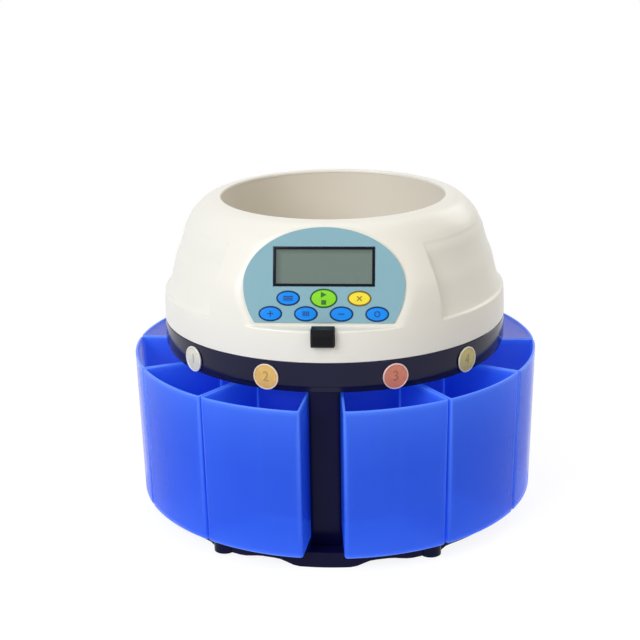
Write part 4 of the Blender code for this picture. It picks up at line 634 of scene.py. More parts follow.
def carved(thing, bm):
    """An object with a mesh cut from it"""
    knife = made("knife", bm)
    modifier = thing.modifiers.new("carve", "BOOLEAN")
    modifier.operation = "DIFFERENCE"
    modifier.solver = "EXACT"
    modifier.object = knife
    old, thing.data = thing.data, settled(thing)
    thing.modifiers.clear()
    bpy.data.meshes.remove(old)
    thing.data.name = thing.name
    thing.data.set_sharp_from_angle(angle=math.radians(32.0))
    bpy.data.objects.remove(knife)
    return thing


def edged(thing, width, segments=2, least=40.0):
    """Gives an object's sharp edges a live bevel"""
    bevel = thing.modifiers.new("edges", "BEVEL")
    bevel.width = width
    bevel.segments = segments
    bevel.limit_method = "ANGLE"
    bevel.angle_limit = math.radians(least)
    bevel.harden_normals = True
    return thing


def dressed(thing, finish, body, slot, *nodes):
    """Gives a piece its finish and its body, in place of CAD nodes"""
    thing.data.materials.clear()
    thing.data.materials.append(finish.material)
    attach(thing, body)
    if nodes:
        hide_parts(*nodes)
    return thing


def cad_mesh(node):
    """A CAD node's mesh, merged and set out round the machine's axis"""
    bm = bmesh.new()
    bm.from_mesh(frame["nodes"][node].data)
    bmesh.ops.remove_doubles(bm, verts=bm.verts, dist=0.00001)
    bmesh.ops.dissolve_limit(bm, angle_limit=math.radians(1.0), verts=bm.verts, edges=bm.edges)
    return shifted(bm, (0.0, -AXIS_Y, 0.0))


LID_SHARES = [(1.0, 0.0), (0.992, 0.16), (0.973, 0.274), (0.935, 0.417), (0.858, 0.551),
              (0.705, 0.694), (0.551, 0.818), (0.455, 0.885), (0.305, 0.957), (0.17, 0.99), (0.03, 1.0)]
RECESS_SHARES = [(0.935, 0.247), (0.877, 0.322), (0.825, 0.417), (0.777, 0.513), (0.70, 0.608),
                 (0.652, 0.685), (0.614, 0.752), (0.55, 0.812)]
INNER_SHARES = [*LID_SHARES[-2:-5:-1], *RECESS_SHARES[::-1], (0.978, 0.247), LID_SHARES[1]]


def softer(first, second, blend):
    """The lesser of two radii, with the edge between them softened"""
    if second == math.inf:
        return first
    share = clamped(0.5 + 0.5 * (second - first) / blend)
    return second + (first - second) * share - blend * share * (1.0 - share)


class LidShape:
    """Where each point of the lid's skin lies, by row and column"""

    def __init__(self, lid):
        self.lid = lid
        self.dome = [self.point(*shares) for shares in curve_through(LID_SHARES, 8)]
        self.recess = [self.point(*shares) for shares in curve_through(RECESS_SHARES, 6)]

    def point(self, across, up):
        """A radius and a height from shares of the shoulder's width and the lid's height"""
        shoulder = LID_RADIUS - self.lid.mouth_radius
        return self.lid.mouth_radius + across * shoulder, LID_BOTTOM + up * (LID_TOP - LID_BOTTOM)

    def facet(self, turn, height, inset=0.0):
        """The radius at which a column of the lid meets the facet's plane"""
        if math.cos(turn) < 0.4:
            return math.inf
        lean = (height - self.lid.facet_foot) * math.tan(self.lid.facet_tilt)
        return (self.lid.facet_distance - lean - inset / math.cos(self.lid.facet_tilt)) / math.cos(turn)

    def cut(self, radius, height, turn, depth):
        """A radius of the dome after the facet and, to a depth share, the recess"""
        radius = softer(radius, self.facet(turn, height), self.lid.facet_blend)
        recess = math.inf if height >= self.recess[-1][1] else radius_at(height, self.recess)
        return radius + (softer(radius, recess, self.lid.recess_blend) - radius) * depth

    def rows(self):
        """The rows of the lid's closed outline: what each is, and where it stands"""
        lid = self.lid
        rows = [("skirt", LID_BOTTOM + rise) for rise in (0.0, 0.0004, 0.0012, 0.004, 0.008, 0.013, 0.019, 0.024)]
        rows += [("edge", step / 5.0) for step in range(6)]
        rows += [("ledge", 0.35), ("ledge", 0.7)]
        rows += [("root", step / 4.0) for step in range(5)]
        rows += [("wall", point) for point in self.dome if point[1] > lid.shelf_level + ROOT_ROOM]
        for bend in (QUARTER_TURN * share for share in (0.33, 0.66, 1.0)):
            rows.append(("lip", (lid.mouth_radius + lid.lip * (1.0 - math.sin(bend)),
                                 LID_TOP - lid.lip * (1.0 - math.cos(bend)))))
        ceiling = LID_TOP - lid.wall
        rows.append(("lip", (lid.mouth_radius, ceiling)))
        for radius, height in (self.point(*shares) for shares in INNER_SHARES):
            rows.append(("inner", (radius - lid.wall, min(height - 0.6 * lid.wall, ceiling))))
        return rows + [("inner", (LID_RADIUS - lid.wall, LID_BOTTOM))]

    def columns(self):
        """Each column's turn, how much it leans with the recess's front edge, and the recess's share"""
        crowd = [(-1.1, 0.0), (-0.45, 0.0), (-0.12, 0.12), (0.12, 0.88), (0.45, 1.0), (1.1, 1.0)]
        front, rear = math.degrees(self.lid.recess_front_low), math.degrees(self.lid.recess_rear)
        right = [(front * step / 30.0, step / 30.0, 0.0) for step in range(30)]
        right += [(front + side, 1.0, depth) for side, depth in crowd]
        right += [(front + (rear - front) * step / 50.0, 1.0 - step / 50.0, 1.0) for step in range(1, 50)]
        right += [(rear + side, 0.0, 1.0 - depth) for side, depth in crowd]
        right += [(rear + (180.0 - rear) * step / 14.0, 0.0, 0.0) for step in range(1, 14)]
        left = [(-turn, -lean, depth) for turn, lean, depth in reversed(right[1:])]
        return [(math.radians(turn), lean, depth) for turn, lean, depth in right + [(180.0, 0.0, 0.0)] + left]

    def spot(self, kind, value, turn, lean, depth):
        """The point at which a row and a column meet"""
        lid, shelf = self.lid, self.lid.shelf_level
        if kind == "skirt":
            return polar(radius_at(value, self.dome) - max(0.0004 - (value - LID_BOTTOM), 0.0), turn, value)
        if kind == "lip":
            return polar(value[0], turn, value[1])
        if kind == "inner":
            radius, height = value
            near = radius if height < shelf - lid.wall else min(radius, self.facet(turn, height, lid.wall))
            return polar(near, turn, height)
        if kind == "wall":
            climb = clamped((value[1] - shelf) / (self.recess[-1][1] - shelf))
            turn += lean * (lid.recess_front_high - lid.recess_front_low) * climb
            return polar(self.cut(*value, turn, depth), turn, value[1])
        outer = radius_at(shelf, self.dome)
        inner = self.cut(outer, shelf + 0.0001, turn, depth)
        room = (outer - inner) / 2.0
        edge, root = min(lid.edge_round, room), min(lid.root_round, room)
        if kind == "edge":
            bend = QUARTER_TURN * value
            height = shelf - lid.edge_round * (1.0 - math.sin(bend))
            return polar(radius_at(height, self.dome) - edge * (1.0 - math.cos(bend)), turn, height)
        if kind == "ledge":
            return polar(outer - edge + (inner + root - outer + edge) * value, turn, shelf + 0.00003 * value)
        bend = QUARTER_TURN * value * 0.8
        height = shelf + 0.00004 + lid.root_round * (1.0 - math.cos(bend)) / 0.7
        inner = self.cut(radius_at(height, self.dome), height, turn, depth)
        return polar(inner + root * (1.0 - math.sin(bend) / 0.951), turn, height)


def lid_skin():
    """The lid's shell: a spun outline whose points are moved on to facet, shelf and recesses"""
    shape = LidShape(sizes("lid"))
    rows, columns = shape.rows(), shape.columns()
    bm = bmesh.new()
    layer = bm.verts.layers.int.new("row")
    outline, row_gap = [], 0.002
    for index in range(len(rows)):
        outline.append(bm.verts.new((0.0, -LID_RADIUS, LID_BOTTOM + row_gap * index)))
        outline[-1][layer] = index
    swept(bm, outline, True, len(columns))
    layer = bm.verts.layers.int["row"]
    for vertex in bm.verts:
        column = round(math.atan2(vertex.co.x, -vertex.co.y) / FULL_TURN * len(columns))
        vertex.co = shape.spot(*rows[vertex[layer]], *columns[column % len(columns)])
    bmesh.ops.recalc_face_normals(bm, faces=bm.faces)
    return bm


KEYS = [("key_print", -2.0, "upper", "blue", "lines"), ("key_start_stop", 0.0, "upper", "green", "start"),
        ("key_clear", 2.0, "upper", "yellow", "cross"), ("key_plus", -3.0, "lower", "blue", "plus"),
        ("key_batch", -1.0, "lower", "blue", "stack"), ("key_minus", 1.0, "lower", "blue", "minus"),
        ("key_set", 3.0, "lower", "blue", "ring")]


def key_table():
    """Each key's node, colour and sign, its place on the facet and its size"""
    panel = sizes("panel")
    for node, place, row, tint, sign in KEYS:
        kind = "start" if sign == "start" else "key"
        size = (getattr(panel, kind + "_width"), getattr(panel, kind + "_height"))
        yield node, tint, sign, (place * panel.key_pitch, getattr(panel, row + "_row")), size


def oval(width, height, steps=48):
    """An ellipse as points"""
    return [(width / 2.0 * math.cos(FULL_TURN * step / steps), height / 2.0 * math.sin(FULL_TURN * step / steps))
            for step in range(steps)]


def facet_holes(display_room, key_room, low, high):
    """The display's window and a hole for each key, with some room round them"""
    panel = sizes("panel")
    width, height = panel.display_width / 2.0 + display_room, panel.display_height / 2.0 + display_room
    holes = [shifted(block(-width, width, -height, height, low, high), (0.0, panel.display_centre, 0.0))]
    for *_, place, size in key_table():
        outline = oval(size[0] + 2.0 * key_room, size[1] + 2.0 * key_room)
        holes.append(shifted(plate(outline, low, high), (*place, 0.0)))
    return on_facet(joined(*holes))


def key_cap(width, height, outline):
    """A low domed oval cap, painted where the printed line goes round it"""
    bm = plate(oval(width, height), -sizes("lid").wall - KEY_DEPTH, KEY_TOP - 0.0005)
    crown = [face for face in bm.faces if face.normal.z > 0.9]
    mark = bm.verts.layers.float.new("rim")
    for vertex in bm.verts:
        vertex[mark] = 1.0
    for inset, rise, rim in ((0.0002, 0.0003, 1.0), (outline - 0.0002, 0.0001, 1.0), (0.0001, 0.0, 0.0),
                             (0.0006, 0.0001, 0.0)):
        bmesh.ops.inset_region(bm, faces=crown, thickness=inset, depth=0.0, use_even_offset=True)
        bmesh.ops.translate(bm, verts=crown[0].verts, vec=(0.0, 0.0, rise))
        for vertex in crown[0].verts:
            vertex[mark] = rim
    return bm


def rectangle(left, right, low, high):
    """A rectangle's corners"""
    return [(left, low), (right, low), (right, high), (left, high)]


def symbol(kind):
    """A plain sign, as thin raised bars round a key's centre"""
    reach, half = sizes("panel").sign, sizes("panel").stroke / 2.0
    bars = {"plus": [(-reach, reach, -half, half), (-half, half, half, reach), (-half, half, -reach, -half)],
            "minus": [(-reach, reach, -half, half)],
            "lines": [(-1.6 * reach, 1.6 * reach, rise * reach - half, rise * reach + half)
                      for rise in (-0.6, 0.0, 0.6)],
            "stack": [(shift * reach - half, shift * reach + half, -0.8 * reach, 0.8 * reach)
                      for shift in (-0.9, -0.3, 0.3, 0.9)],
            "cross": [(-1.1 * reach, 1.1 * reach, -half, half)] * 2,
            "start": [(-0.8 * reach, 0.8 * reach, -2.1 * reach, -0.6 * reach)], "ring": []}
    signs = [plate(rectangle(*sides), 0.0, PRINT_THICKNESS) for sides in bars[kind]]
    if kind == "cross":
        for side, arm in zip((0.5, -0.5), signs):
            turned(arm, side * QUARTER_TURN)
    elif kind == "ring":
        return spun([(reach - 2.0 * half, 0.0), (reach, 0.0), (reach, PRINT_THICKNESS),
                     (reach - 2.0 * half, PRINT_THICKNESS)], 32, True)
    elif kind == "start":
        arrow = [(-1.3 * reach, 0.2 * reach), (0.6 * reach, 1.2 * reach), (-1.3 * reach, 2.2 * reach)]
        signs.insert(0, shifted(plate(arrow, 0.0, PRINT_THICKNESS), (0.35 * reach, 0.0, 0.0)))
    return joined(*signs)


def overlay_outline():
    """The overlay's outline: a half ellipse above its widest line, drawn in below it"""
    panel = sizes("panel")
    low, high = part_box("panel_overlay")
    half = half_span("panel_overlay")
    rise = (high.z - low.z) / math.cos(sizes("lid").facet_tilt) - panel.widest - TOUCH_GAP
    pinch = panel.bottom_width / 2.0 / half
    drop = panel.widest / math.sqrt(1.0 - pinch ** 2)
    low_turn = math.acos(pinch)
    upper = [(half * math.cos(HALF_TURN * step / 64.0), panel.widest + rise * math.sin(HALF_TURN * step / 64.0))
             for step in range(65)]
    left = [(-half * math.cos(low_turn * step / 12.0), panel.widest - drop * math.sin(low_turn * step / 12.0))
            for step in range(1, 13)]
    return upper + left + [(-across, along) for across, along in reversed(left)]


class SORTER_OT_lid(bpy.types.Operator):
    """Make the domed lid with its hopper bowl"""

    bl_idname = "sorter.lid"
    bl_label = "Lid and bowl"

    def execute(self, context):
        lid = sizes("lid")
        flange, window_front, window_back = 0.002, -0.16, -0.1375
        half = half_span("latch_button") - flange + SLIDE_GAP
        shell = made("lid_shell", lid_skin())
        carved(shell, block(-half, half, window_front, window_back, lid.catch_bottom - SLIDE_GAP,
                            lid.catch_top + SLIDE_GAP))
        carved(shell, facet_holes(-0.0022, SLIDE_GAP, -0.0065, 0.004))
        web = block(-HINGE_HALF, HINGE_HALF, LID_RADIUS - 0.0015, HINGE_BACK, HINGE.z + TOUCH_GAP,
                    HINGE.z + HINGE_RADIUS)
        knuckle = joined(on_hinge(rod(HINGE_RADIUS, -HINGE_HALF, HINGE_HALF)), web)
        cream = moulded("cream_shell", shade("cream"), 0.34, mottle=0.012, Coat_Weight=0.15, Coat_Roughness=0.2)
        dressed(shell, cream, "lid", "cream_plastic", "top_cover")
        dressed(made("lid_knuckle", rounded(knuckle, 0.0005, 2, 60.0)), cream, "lid", "cream_plastic")

        rim, foot, wall = lid.mouth_radius + TOUCH_GAP, 0.092, 0.0022
        top, low = LID_TOP - lid.wall - FINE_EDGE / 2.0, lowest("hopper_bowl").z
        bowl = spun([(rim, top), (rim - 0.0004, top - 0.006), (foot + 0.002, low + 0.012), (foot, low + 0.0005),
                     (foot + 0.0006, low), (foot + wall, low), (foot + wall + 0.001, low + 0.004),
                     (rim + wall, top - 0.004), (rim + wall, top)], 192, True)
        tabs, tab_half, tab_low, tab_high = [], 0.0045, top - 0.016, top - 0.013
        for turn in (62.0, 180.0, 298.0):
            web = block(-tab_half, tab_half, 0.0, 0.0085, tab_low, tab_high)
            tab = shifted(joined(rod(tab_half, tab_low, tab_high), web), (0.0, -0.1065, 0.0))
            tabs.append(turned(tab, math.radians(turn)))
        dressed(made("bowl_shell", joined(bowl, *tabs)), moulded("bowl_plastic", shade("bowl"), 0.42),
                "lid", "bowl_plastic", "hopper_bowl")
        return {"FINISHED"}


class SORTER_OT_panel(bpy.types.Operator):
    """Make the keypad overlay, the display and the keys"""

    bl_idname = "sorter.panel"
    bl_label = "Keypad"

    def execute(self, context):
        panel = sizes("panel")
        overlay = made("overlay", on_facet(rounded(plate(overlay_outline(), TOUCH_GAP, OVERLAY_TOP),
                                                   FINE_EDGE, 2, 60.0)))
        carved(overlay, facet_holes(TOUCH_GAP, TOUCH_GAP, -0.002, 0.003))
        overlay.modifiers.new("flat_normals", "WEIGHTED_NORMAL").keep_sharp = True
        teal = moulded("teal_overlay", shade("teal"), 0.38, mottle=0.02)
        dressed(overlay, teal, "lid", "panel_teal", "panel_overlay")

        width, height = panel.display_width / 2.0, panel.display_height / 2.0
        surround = plate(rectangle(-width, width, -height, height), TOUCH_GAP, OVERLAY_TOP)
        crown = [face for face in surround.faces if face.normal.z > 0.9]
        bmesh.ops.inset_region(surround, faces=crown, thickness=panel.display_border, depth=0.0,
                               use_even_offset=True)
        bmesh.ops.delete(surround, geom=crown, context="FACES_ONLY")
        surround = on_facet(rounded(surround, 0.0002, 2, 60.0), 0.0, panel.display_centre)
        dressed(made("display_frame", surround), moulded("display_frame", shade("frame"), 0.25,
                                                         Specular_IOR_Level=0.1),
                "lid", "display_glass", "display_lens")

        width, height = 2.0 * (width - panel.display_border), 2.0 * (height - panel.display_border)
        glass = bmesh.new()
        bmesh.ops.create_grid(glass, x_segments=16, y_segments=8, size=0.5)
        bmesh.ops.scale(glass, verts=glass.verts, vec=(width, height, 1.0))
        left, down = [glass.verts.layers.float.new(name) for name in ("from_left", "from_top")]
        for vertex in glass.verts:
            vertex[left] = vertex.co.x / width + 0.5
            vertex[down] = 0.5 - vertex.co.y / height
        pane = made("display_pane", on_facet(glass, 0.0, panel.display_centre, OVERLAY_TOP - TOUCH_GAP))
        dressed(pane, display_cell("display_cell", shade("display")), "lid", "display_glass")

        for name, tint, sign, place, size in key_table():
            ink = shade("ink_" + tint)
            cap = made(name + "_cap", on_facet(key_cap(*size, panel.outline), *place))
            paint = printed_key(name + "_paint", shade("key_" + tint), ink)
            dressed(cap, paint, name + "_cap", "key_" + tint, name)
            mark = made(name + "_sign", on_facet(symbol(sign), *place, KEY_TOP + 0.0001))
            dressed(mark, moulded(name + "_ink", ink, 0.4), name + "_cap", "key_" + tint)
        return {"FINISHED"}


class SORTER_OT_latch(bpy.types.Operator):
    """Make the catch under the keypad"""

    bl_idname = "sorter.latch"
    bl_label = "Catch"

    def execute(self, context):
        lid = sizes("lid")
        bm = cad_mesh("latch_button")
        for vertex in bm.verts:
            if vertex.co.z > lid.catch_top - lid.catch_bevel:
                vertex.co.z -= lid.catch_drop
        black = moulded("catch_plastic", (0.003, 0.003, 0.005), 0.3, mottle=0.1, Specular_IOR_Level=0.15)
        dressed(edged(made("catch", bm), 0.0004, 3, 25.0), black, "latch", "latch_black", "latch_button")
        return {"FINISHED"}


def box_places():
    """The turn from the front to the first box's edge, and the turn from one box to the next"""
    boxes = sizes("boxes")
    return math.asin(boxes.front_gap / 2.0 / boxes.radius), boxes.sweep + boxes.seam / boxes.radius


def box_turns():
    """The turn of each coin box from the front, in their order"""
    edge, pitch = box_places()
    return sorted(side * (edge + sizes("boxes").sweep / 2.0 + place * pitch)
                  for place in range(BOX_COUNT // 2) for side in (-1.0, 1.0))


def sector(inner, outer, sweep, outer_steps=20, inner_steps=12, edge_steps=()):
    """A sector's outline about the front, with points on its sides at some distances from their ends"""
    far = [polar(outer, sweep * (step / outer_steps - 0.5)) for step in range(outer_steps + 1)]
    near = [polar(inner, sweep * (0.5 - step / inner_steps)) for step in range(inner_steps + 1)]
    side = [outer - step for step in edge_steps] + [inner + step for step in reversed(edge_steps)]
    right = [polar(radius, sweep / 2.0) for radius in side]
    left = [polar(radius, -sweep / 2.0) for radius in reversed(side)]
    return far + right + near + left


def box_mesh():
    """An open box: a sector raised and drafted, its corners and floor edges rounded"""
    boxes = sizes("boxes")
    steps = [boxes.corner * share for share in (1.6, 2.6, 4.5, 8.0)]
    bands = [boxes.corner * share for share in (12.0, 18.0)]
    corners = [polar(radius, side * boxes.sweep / 2.0).xy for radius in (boxes.inner_radius, boxes.radius)
               for side in (-1.0, 1.0)]
    bm = plate(sector(boxes.inner_radius, boxes.radius, boxes.sweep, edge_steps=steps), BOX_BOTTOM, BOX_TOP)
    middle = (boxes.inner_radius + boxes.radius) / 2.0
    for vertex in bm.verts:
        if vertex.co.z < BOX_BOTTOM + TOUCH_GAP and vertex.co.xy.length > middle:
            vertex.co.xy *= 1.0 - boxes.draft / boxes.radius
    bent = [edge for edge in bm.edges if edge.calc_face_angle(0.0) > QUARTER_TURN / 2.0]
    upright = [edge for edge in bent if abs((edge.verts[0].co - edge.verts[1].co).normalized().z) > 0.9]
    bevelled(bm, upright, boxes.corner, 5)
    floor_edges = [edge for edge in bm.edges if edge.calc_face_angle(0.0) > QUARTER_TURN / 2.0
                   and all(vertex.co.z < BOX_BOTTOM + TOUCH_GAP for vertex in edge.verts)]
    bevelled(bm, floor_edges, boxes.bottom_round, 4)
    bmesh.ops.delete(bm, geom=[face for face in bm.faces if face.normal.z > 0.9], context="FACES_ONLY")
    for level in [BOX_BOTTOM + step for step in steps] + [BOX_TOP - step for step in [boxes.wall] + steps + bands]:
        bmesh.ops.bisect_plane(bm, geom=bm.verts[:] + bm.edges[:] + bm.faces[:], dist=0.000001,
                               plane_co=(0.0, 0.0, level), plane_no=(0.0, 0.0, 1.0))
    # Paints the mask for the painted highlight and painted glow: near one at the rim, the floor and the upright
    # corners, with softer bands below the rim and above the floor
    edge = bm.verts.layers.float.new("edge")
    for vertex in bm.verts:
        down, up = BOX_TOP - vertex.co.z, vertex.co.z - BOX_BOTTOM
        near = min([down, up, *[(vertex.co.xy - corner).length for corner in corners]])
        soft = 0.4 * math.exp(-down / (10.0 * boxes.corner)) + 0.25 * math.exp(-up / (5.0 * boxes.corner))
        vertex[edge] = max(math.exp(-max(near / boxes.corner - 0.4, 0.0) / 0.5), soft)
    return bm


class SORTER_OT_boxes(bpy.types.Operator):
    """Make the eight blue coin boxes"""

    bl_idname = "sorter.boxes"
    bl_label = "Coin boxes"

    def execute(self, context):
        boxes = sizes("boxes")
        blue = translucent("blue_box", shade("blue"), shade("glow"), boxes.inner_radius)
        for number, turn in enumerate(box_turns(), 1):
            box = made(f"box_{number}", turned(box_mesh(), turn))
            shell = box.modifiers.new("walls", "SOLIDIFY")
            shell.thickness = boxes.wall
            shell.offset = -1.0
            shell.use_even_offset = True
            edged(box, 0.0005, 2, 60.0)
            dressed(box, blue, f"coin_box_{number}_drawer", "blue_plastic", f"coin_box_{number}")
        return {"FINISHED"}


class SORTER_OT_ring(bpy.types.Operator):
    """Make the stepped exit ring with its chutes, partitions and hinge lugs"""

    bl_idname = "sorter.ring"
    bl_label = "Exit ring"

    def execute(self, context):
        ring = sizes("ring")
        band, soft = RING_RADIUS - ring.step, SOFT_EDGE
        step_low, floor_top = RING_BOTTOM + ring.step_height, RING_BOTTOM + ring.floor
        ledge_top, ledge_in = lowest("sorting_plate").z - TOUCH_GAP, ring.bore_radius - ring.ledge
        step_top, step_out = lowest("sensor_board").z - TOUCH_GAP, ring.hub_radius + 0.002
        well, hub_in = 0.013, ring.hub_radius - 0.0025
        body = made("ring_body", spun([
            (well, RING_BOTTOM), (band - soft, RING_BOTTOM), (band, RING_BOTTOM + soft), (band, step_low),
            (RING_RADIUS - soft, step_low), (RING_RADIUS, step_low + soft), (RING_RADIUS, RING_TOP - soft),
            (RING_RADIUS - soft, RING_TOP), (ring.bore_radius, RING_TOP), (ring.bore_radius, ledge_top),
            (ledge_in, ledge_top), (ledge_in, floor_top), (step_out, floor_top), (step_out, step_top),
            (ring.hub_radius, step_top), (ring.hub_radius, ledge_top), (hub_in, ledge_top), (hub_in, floor_top),
            (well, floor_top)], 192, True))
        chute = (ring.chute_inner, ring.chute_outer, ring.chute_sweep, 6, 6)
        carved(body, joined(*[turned(plate(sector(*chute), RING_BOTTOM - THROUGH, floor_top + THROUGH), turn)
                              for turn in box_turns()]))
        edge, pitch = box_places()
        half, wall_in, bite = 0.001, 0.1115, 0.0005
        turns = [side * (edge + place * pitch) for place in range(BOX_COUNT // 2 + 1) for side in (-1.0, 1.0)]
        extras = [turned(block(-half, half, -ledge_in - bite, -wall_in, floor_top - bite, ledge_top - TOUCH_GAP),
                         turn) for turn in turns]
        for place in (-LUG_PLACE, LUG_PLACE):
            extras += [on_hinge(rod(HINGE_RADIUS, -LUG_HALF, LUG_HALF), place),
                       block(place - LUG_HALF, place + LUG_HALF, band, HINGE_BACK, HINGE.z - HINGE_RADIUS,
                             HINGE.z - TOUCH_GAP)]
        black = moulded("black_gloss", shade("black"), 0.13, grain=0.000006, mottle=0.2, Specular_IOR_Level=0.25)
        dressed(edged(body, FINE_EDGE, 2, 50.0), black, "base", "black_plastic", "exit_ring")
        dressed(edged(made("ring_walls", joined(*extras)), FINE_EDGE, 2, 50.0), black, "base", "black_plastic")
        return {"FINISHED"}


def figure(number, size):
    """A plain raised number"""
    letters = bpy.data.curves.new("figure", "FONT")
    letters.body = str(number)
    letters.size = size
    letters.extrude = 0.0001
    letters.bevel_depth = 0.00006
    letters.align_x = letters.align_y = "CENTER"
    holder = bpy.data.objects.new("figure", letters)
    bpy.context.scene.collection.objects.link(holder)
    mesh = settled(holder)
    bm = bmesh.new()
    bm.from_mesh(mesh)
    bmesh.ops.remove_doubles(bm, verts=bm.verts, dist=0.000002)
    bpy.data.objects.remove(holder)
    bpy.data.curves.remove(letters)
    bpy.data.meshes.remove(mesh)
    return bm


def coin_face(radius, number):
    """A coin label: a disc with a raised rim, beads inside it and a plain number"""
    ring, thick = sizes("ring"), LABEL_THICKNESS
    rim, field = radius - ring.label_rim, thick - ring.label_sink
    bevel, bead_size, bead_inset = 0.0002, 0.0003, 0.0008
    parts = [spun([(0.0, 0.0), (radius - 0.0001, 0.0), (radius, 0.0001), (radius, thick - bevel),
                   (radius - bevel, thick), (rim, thick), (rim - bevel, field), (0.0, field)], 64)]
    for place in range(36):
        bead = bmesh.new()
        bmesh.ops.create_icosphere(bead, subdivisions=1, radius=bead_size)
        parts.append(shifted(bead, polar(rim - bead_inset, FULL_TURN * place / 36.0, field)))
    face = joined(*parts, shifted(figure(number, 1.1 * radius), (0.0, 0.0, field)))
    tone = face.verts.layers.float.new("tone")
    for vertex in face.verts:
        outer = vertex.co.xy.length > rim - FINE_EDGE / 2.0
        vertex[tone] = 1.0 if outer else 0.0 if vertex.co.z > field + FINE_EDGE / 8.0 else 0.5
    return face


class SORTER_OT_labels(bpy.types.Operator):
    """Make the four coin labels on the ring"""

    bl_idname = "sorter.labels"
    bl_label = "Coin labels"

    def execute(self, context):
        for number, name in enumerate(("silver", "gold", "copper", "brass"), 1):
            low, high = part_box(f"coin_label_{number}")
            middle = (low + high) / 2.0
            face = turned(coin_face((high.z - low.z) / 2.0, number), QUARTER_TURN, "X")
            face = turned(shifted(face, (0.0, -RING_RADIUS - TOUCH_GAP, middle.z)),
                          math.atan2(middle.x, AXIS_Y - middle.y))
            paint = coin_metal(name + "_coin", shade(name))
            dressed(made(f"coin_{number}", face), paint, "base", "label_" + name, f"coin_label_{number}")
        return {"FINISHED"}


def dip(distance, flat, reach):
    """A soft dip: whole within a flat distance, and gone at its reach"""
    return (1.0 + math.cos(HALF_TURN * clamped((distance - flat) / (reach - flat)))) / 2.0


def foot_spots():
    """The middle of each rubber foot, seen from above"""
    corners = [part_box(f"rubber_foot_{number}") for number in range(1, 5)]
    return [((low + high) / 2.0).xy - Vector((0.0, AXIS_Y)) for low, high in corners]


def rim_drop(spot):
    """How far the tray's rim comes down at a spot, at the front lobe and round the feet"""
    base, outer_steepness = sizes("base"), 2.4
    drops = [base.tray_lift * dip((spot - Vector((0.0, -TRAY_RADIUS))).length, base.lobe_flat, base.lobe_reach)]
    for foot in foot_spots():
        steepness = outer_steepness if abs(spot.x) > abs(foot.x) else 1.0
        drops.append(base.foot_dip * dip((spot - foot).length * steepness, base.foot_flat, base.foot_reach))
    return max(drops)


def column_outline(base):
    """The front column's outline, between the two front boxes"""
    edge = box_places()[0]
    out, into = base.housing_radius, base.drum_radius - SINK
    far_turn, near_turn = edge - math.asin(base.side_gap / out), edge - math.asin(base.side_gap / into)
    return [*[polar(out, far_turn * (step / 4.0 - 1.0)) for step in range(9)],
            polar(into, near_turn), polar(into, -near_turn)]


def housing_outline(base, flat):
    """The rear housing's outline, from box to box, with a flat at a distance behind the axis"""
    edge, pitch = box_places()
    out, into = base.housing_radius, base.drum_radius - SINK
    rearmost = edge + BOX_COUNT / 2.0 * pitch - sizes("boxes").seam / sizes("boxes").radius
    start, inner_start = rearmost + math.asin(base.side_gap / out), rearmost + math.asin(base.side_gap / into)
    end = HALF_TURN - math.acos(flat / out)
    side = [polar(out, start + (end - start) * step / 14.0) for step in range(15)]
    other = [Vector((-point.x, point.y, 0.0)) for point in reversed(side)]
    inside = [polar(into, -inner_start - (HALF_TURN - inner_start) * step / 12.0) for step in range(25)]
    return side + other + inside


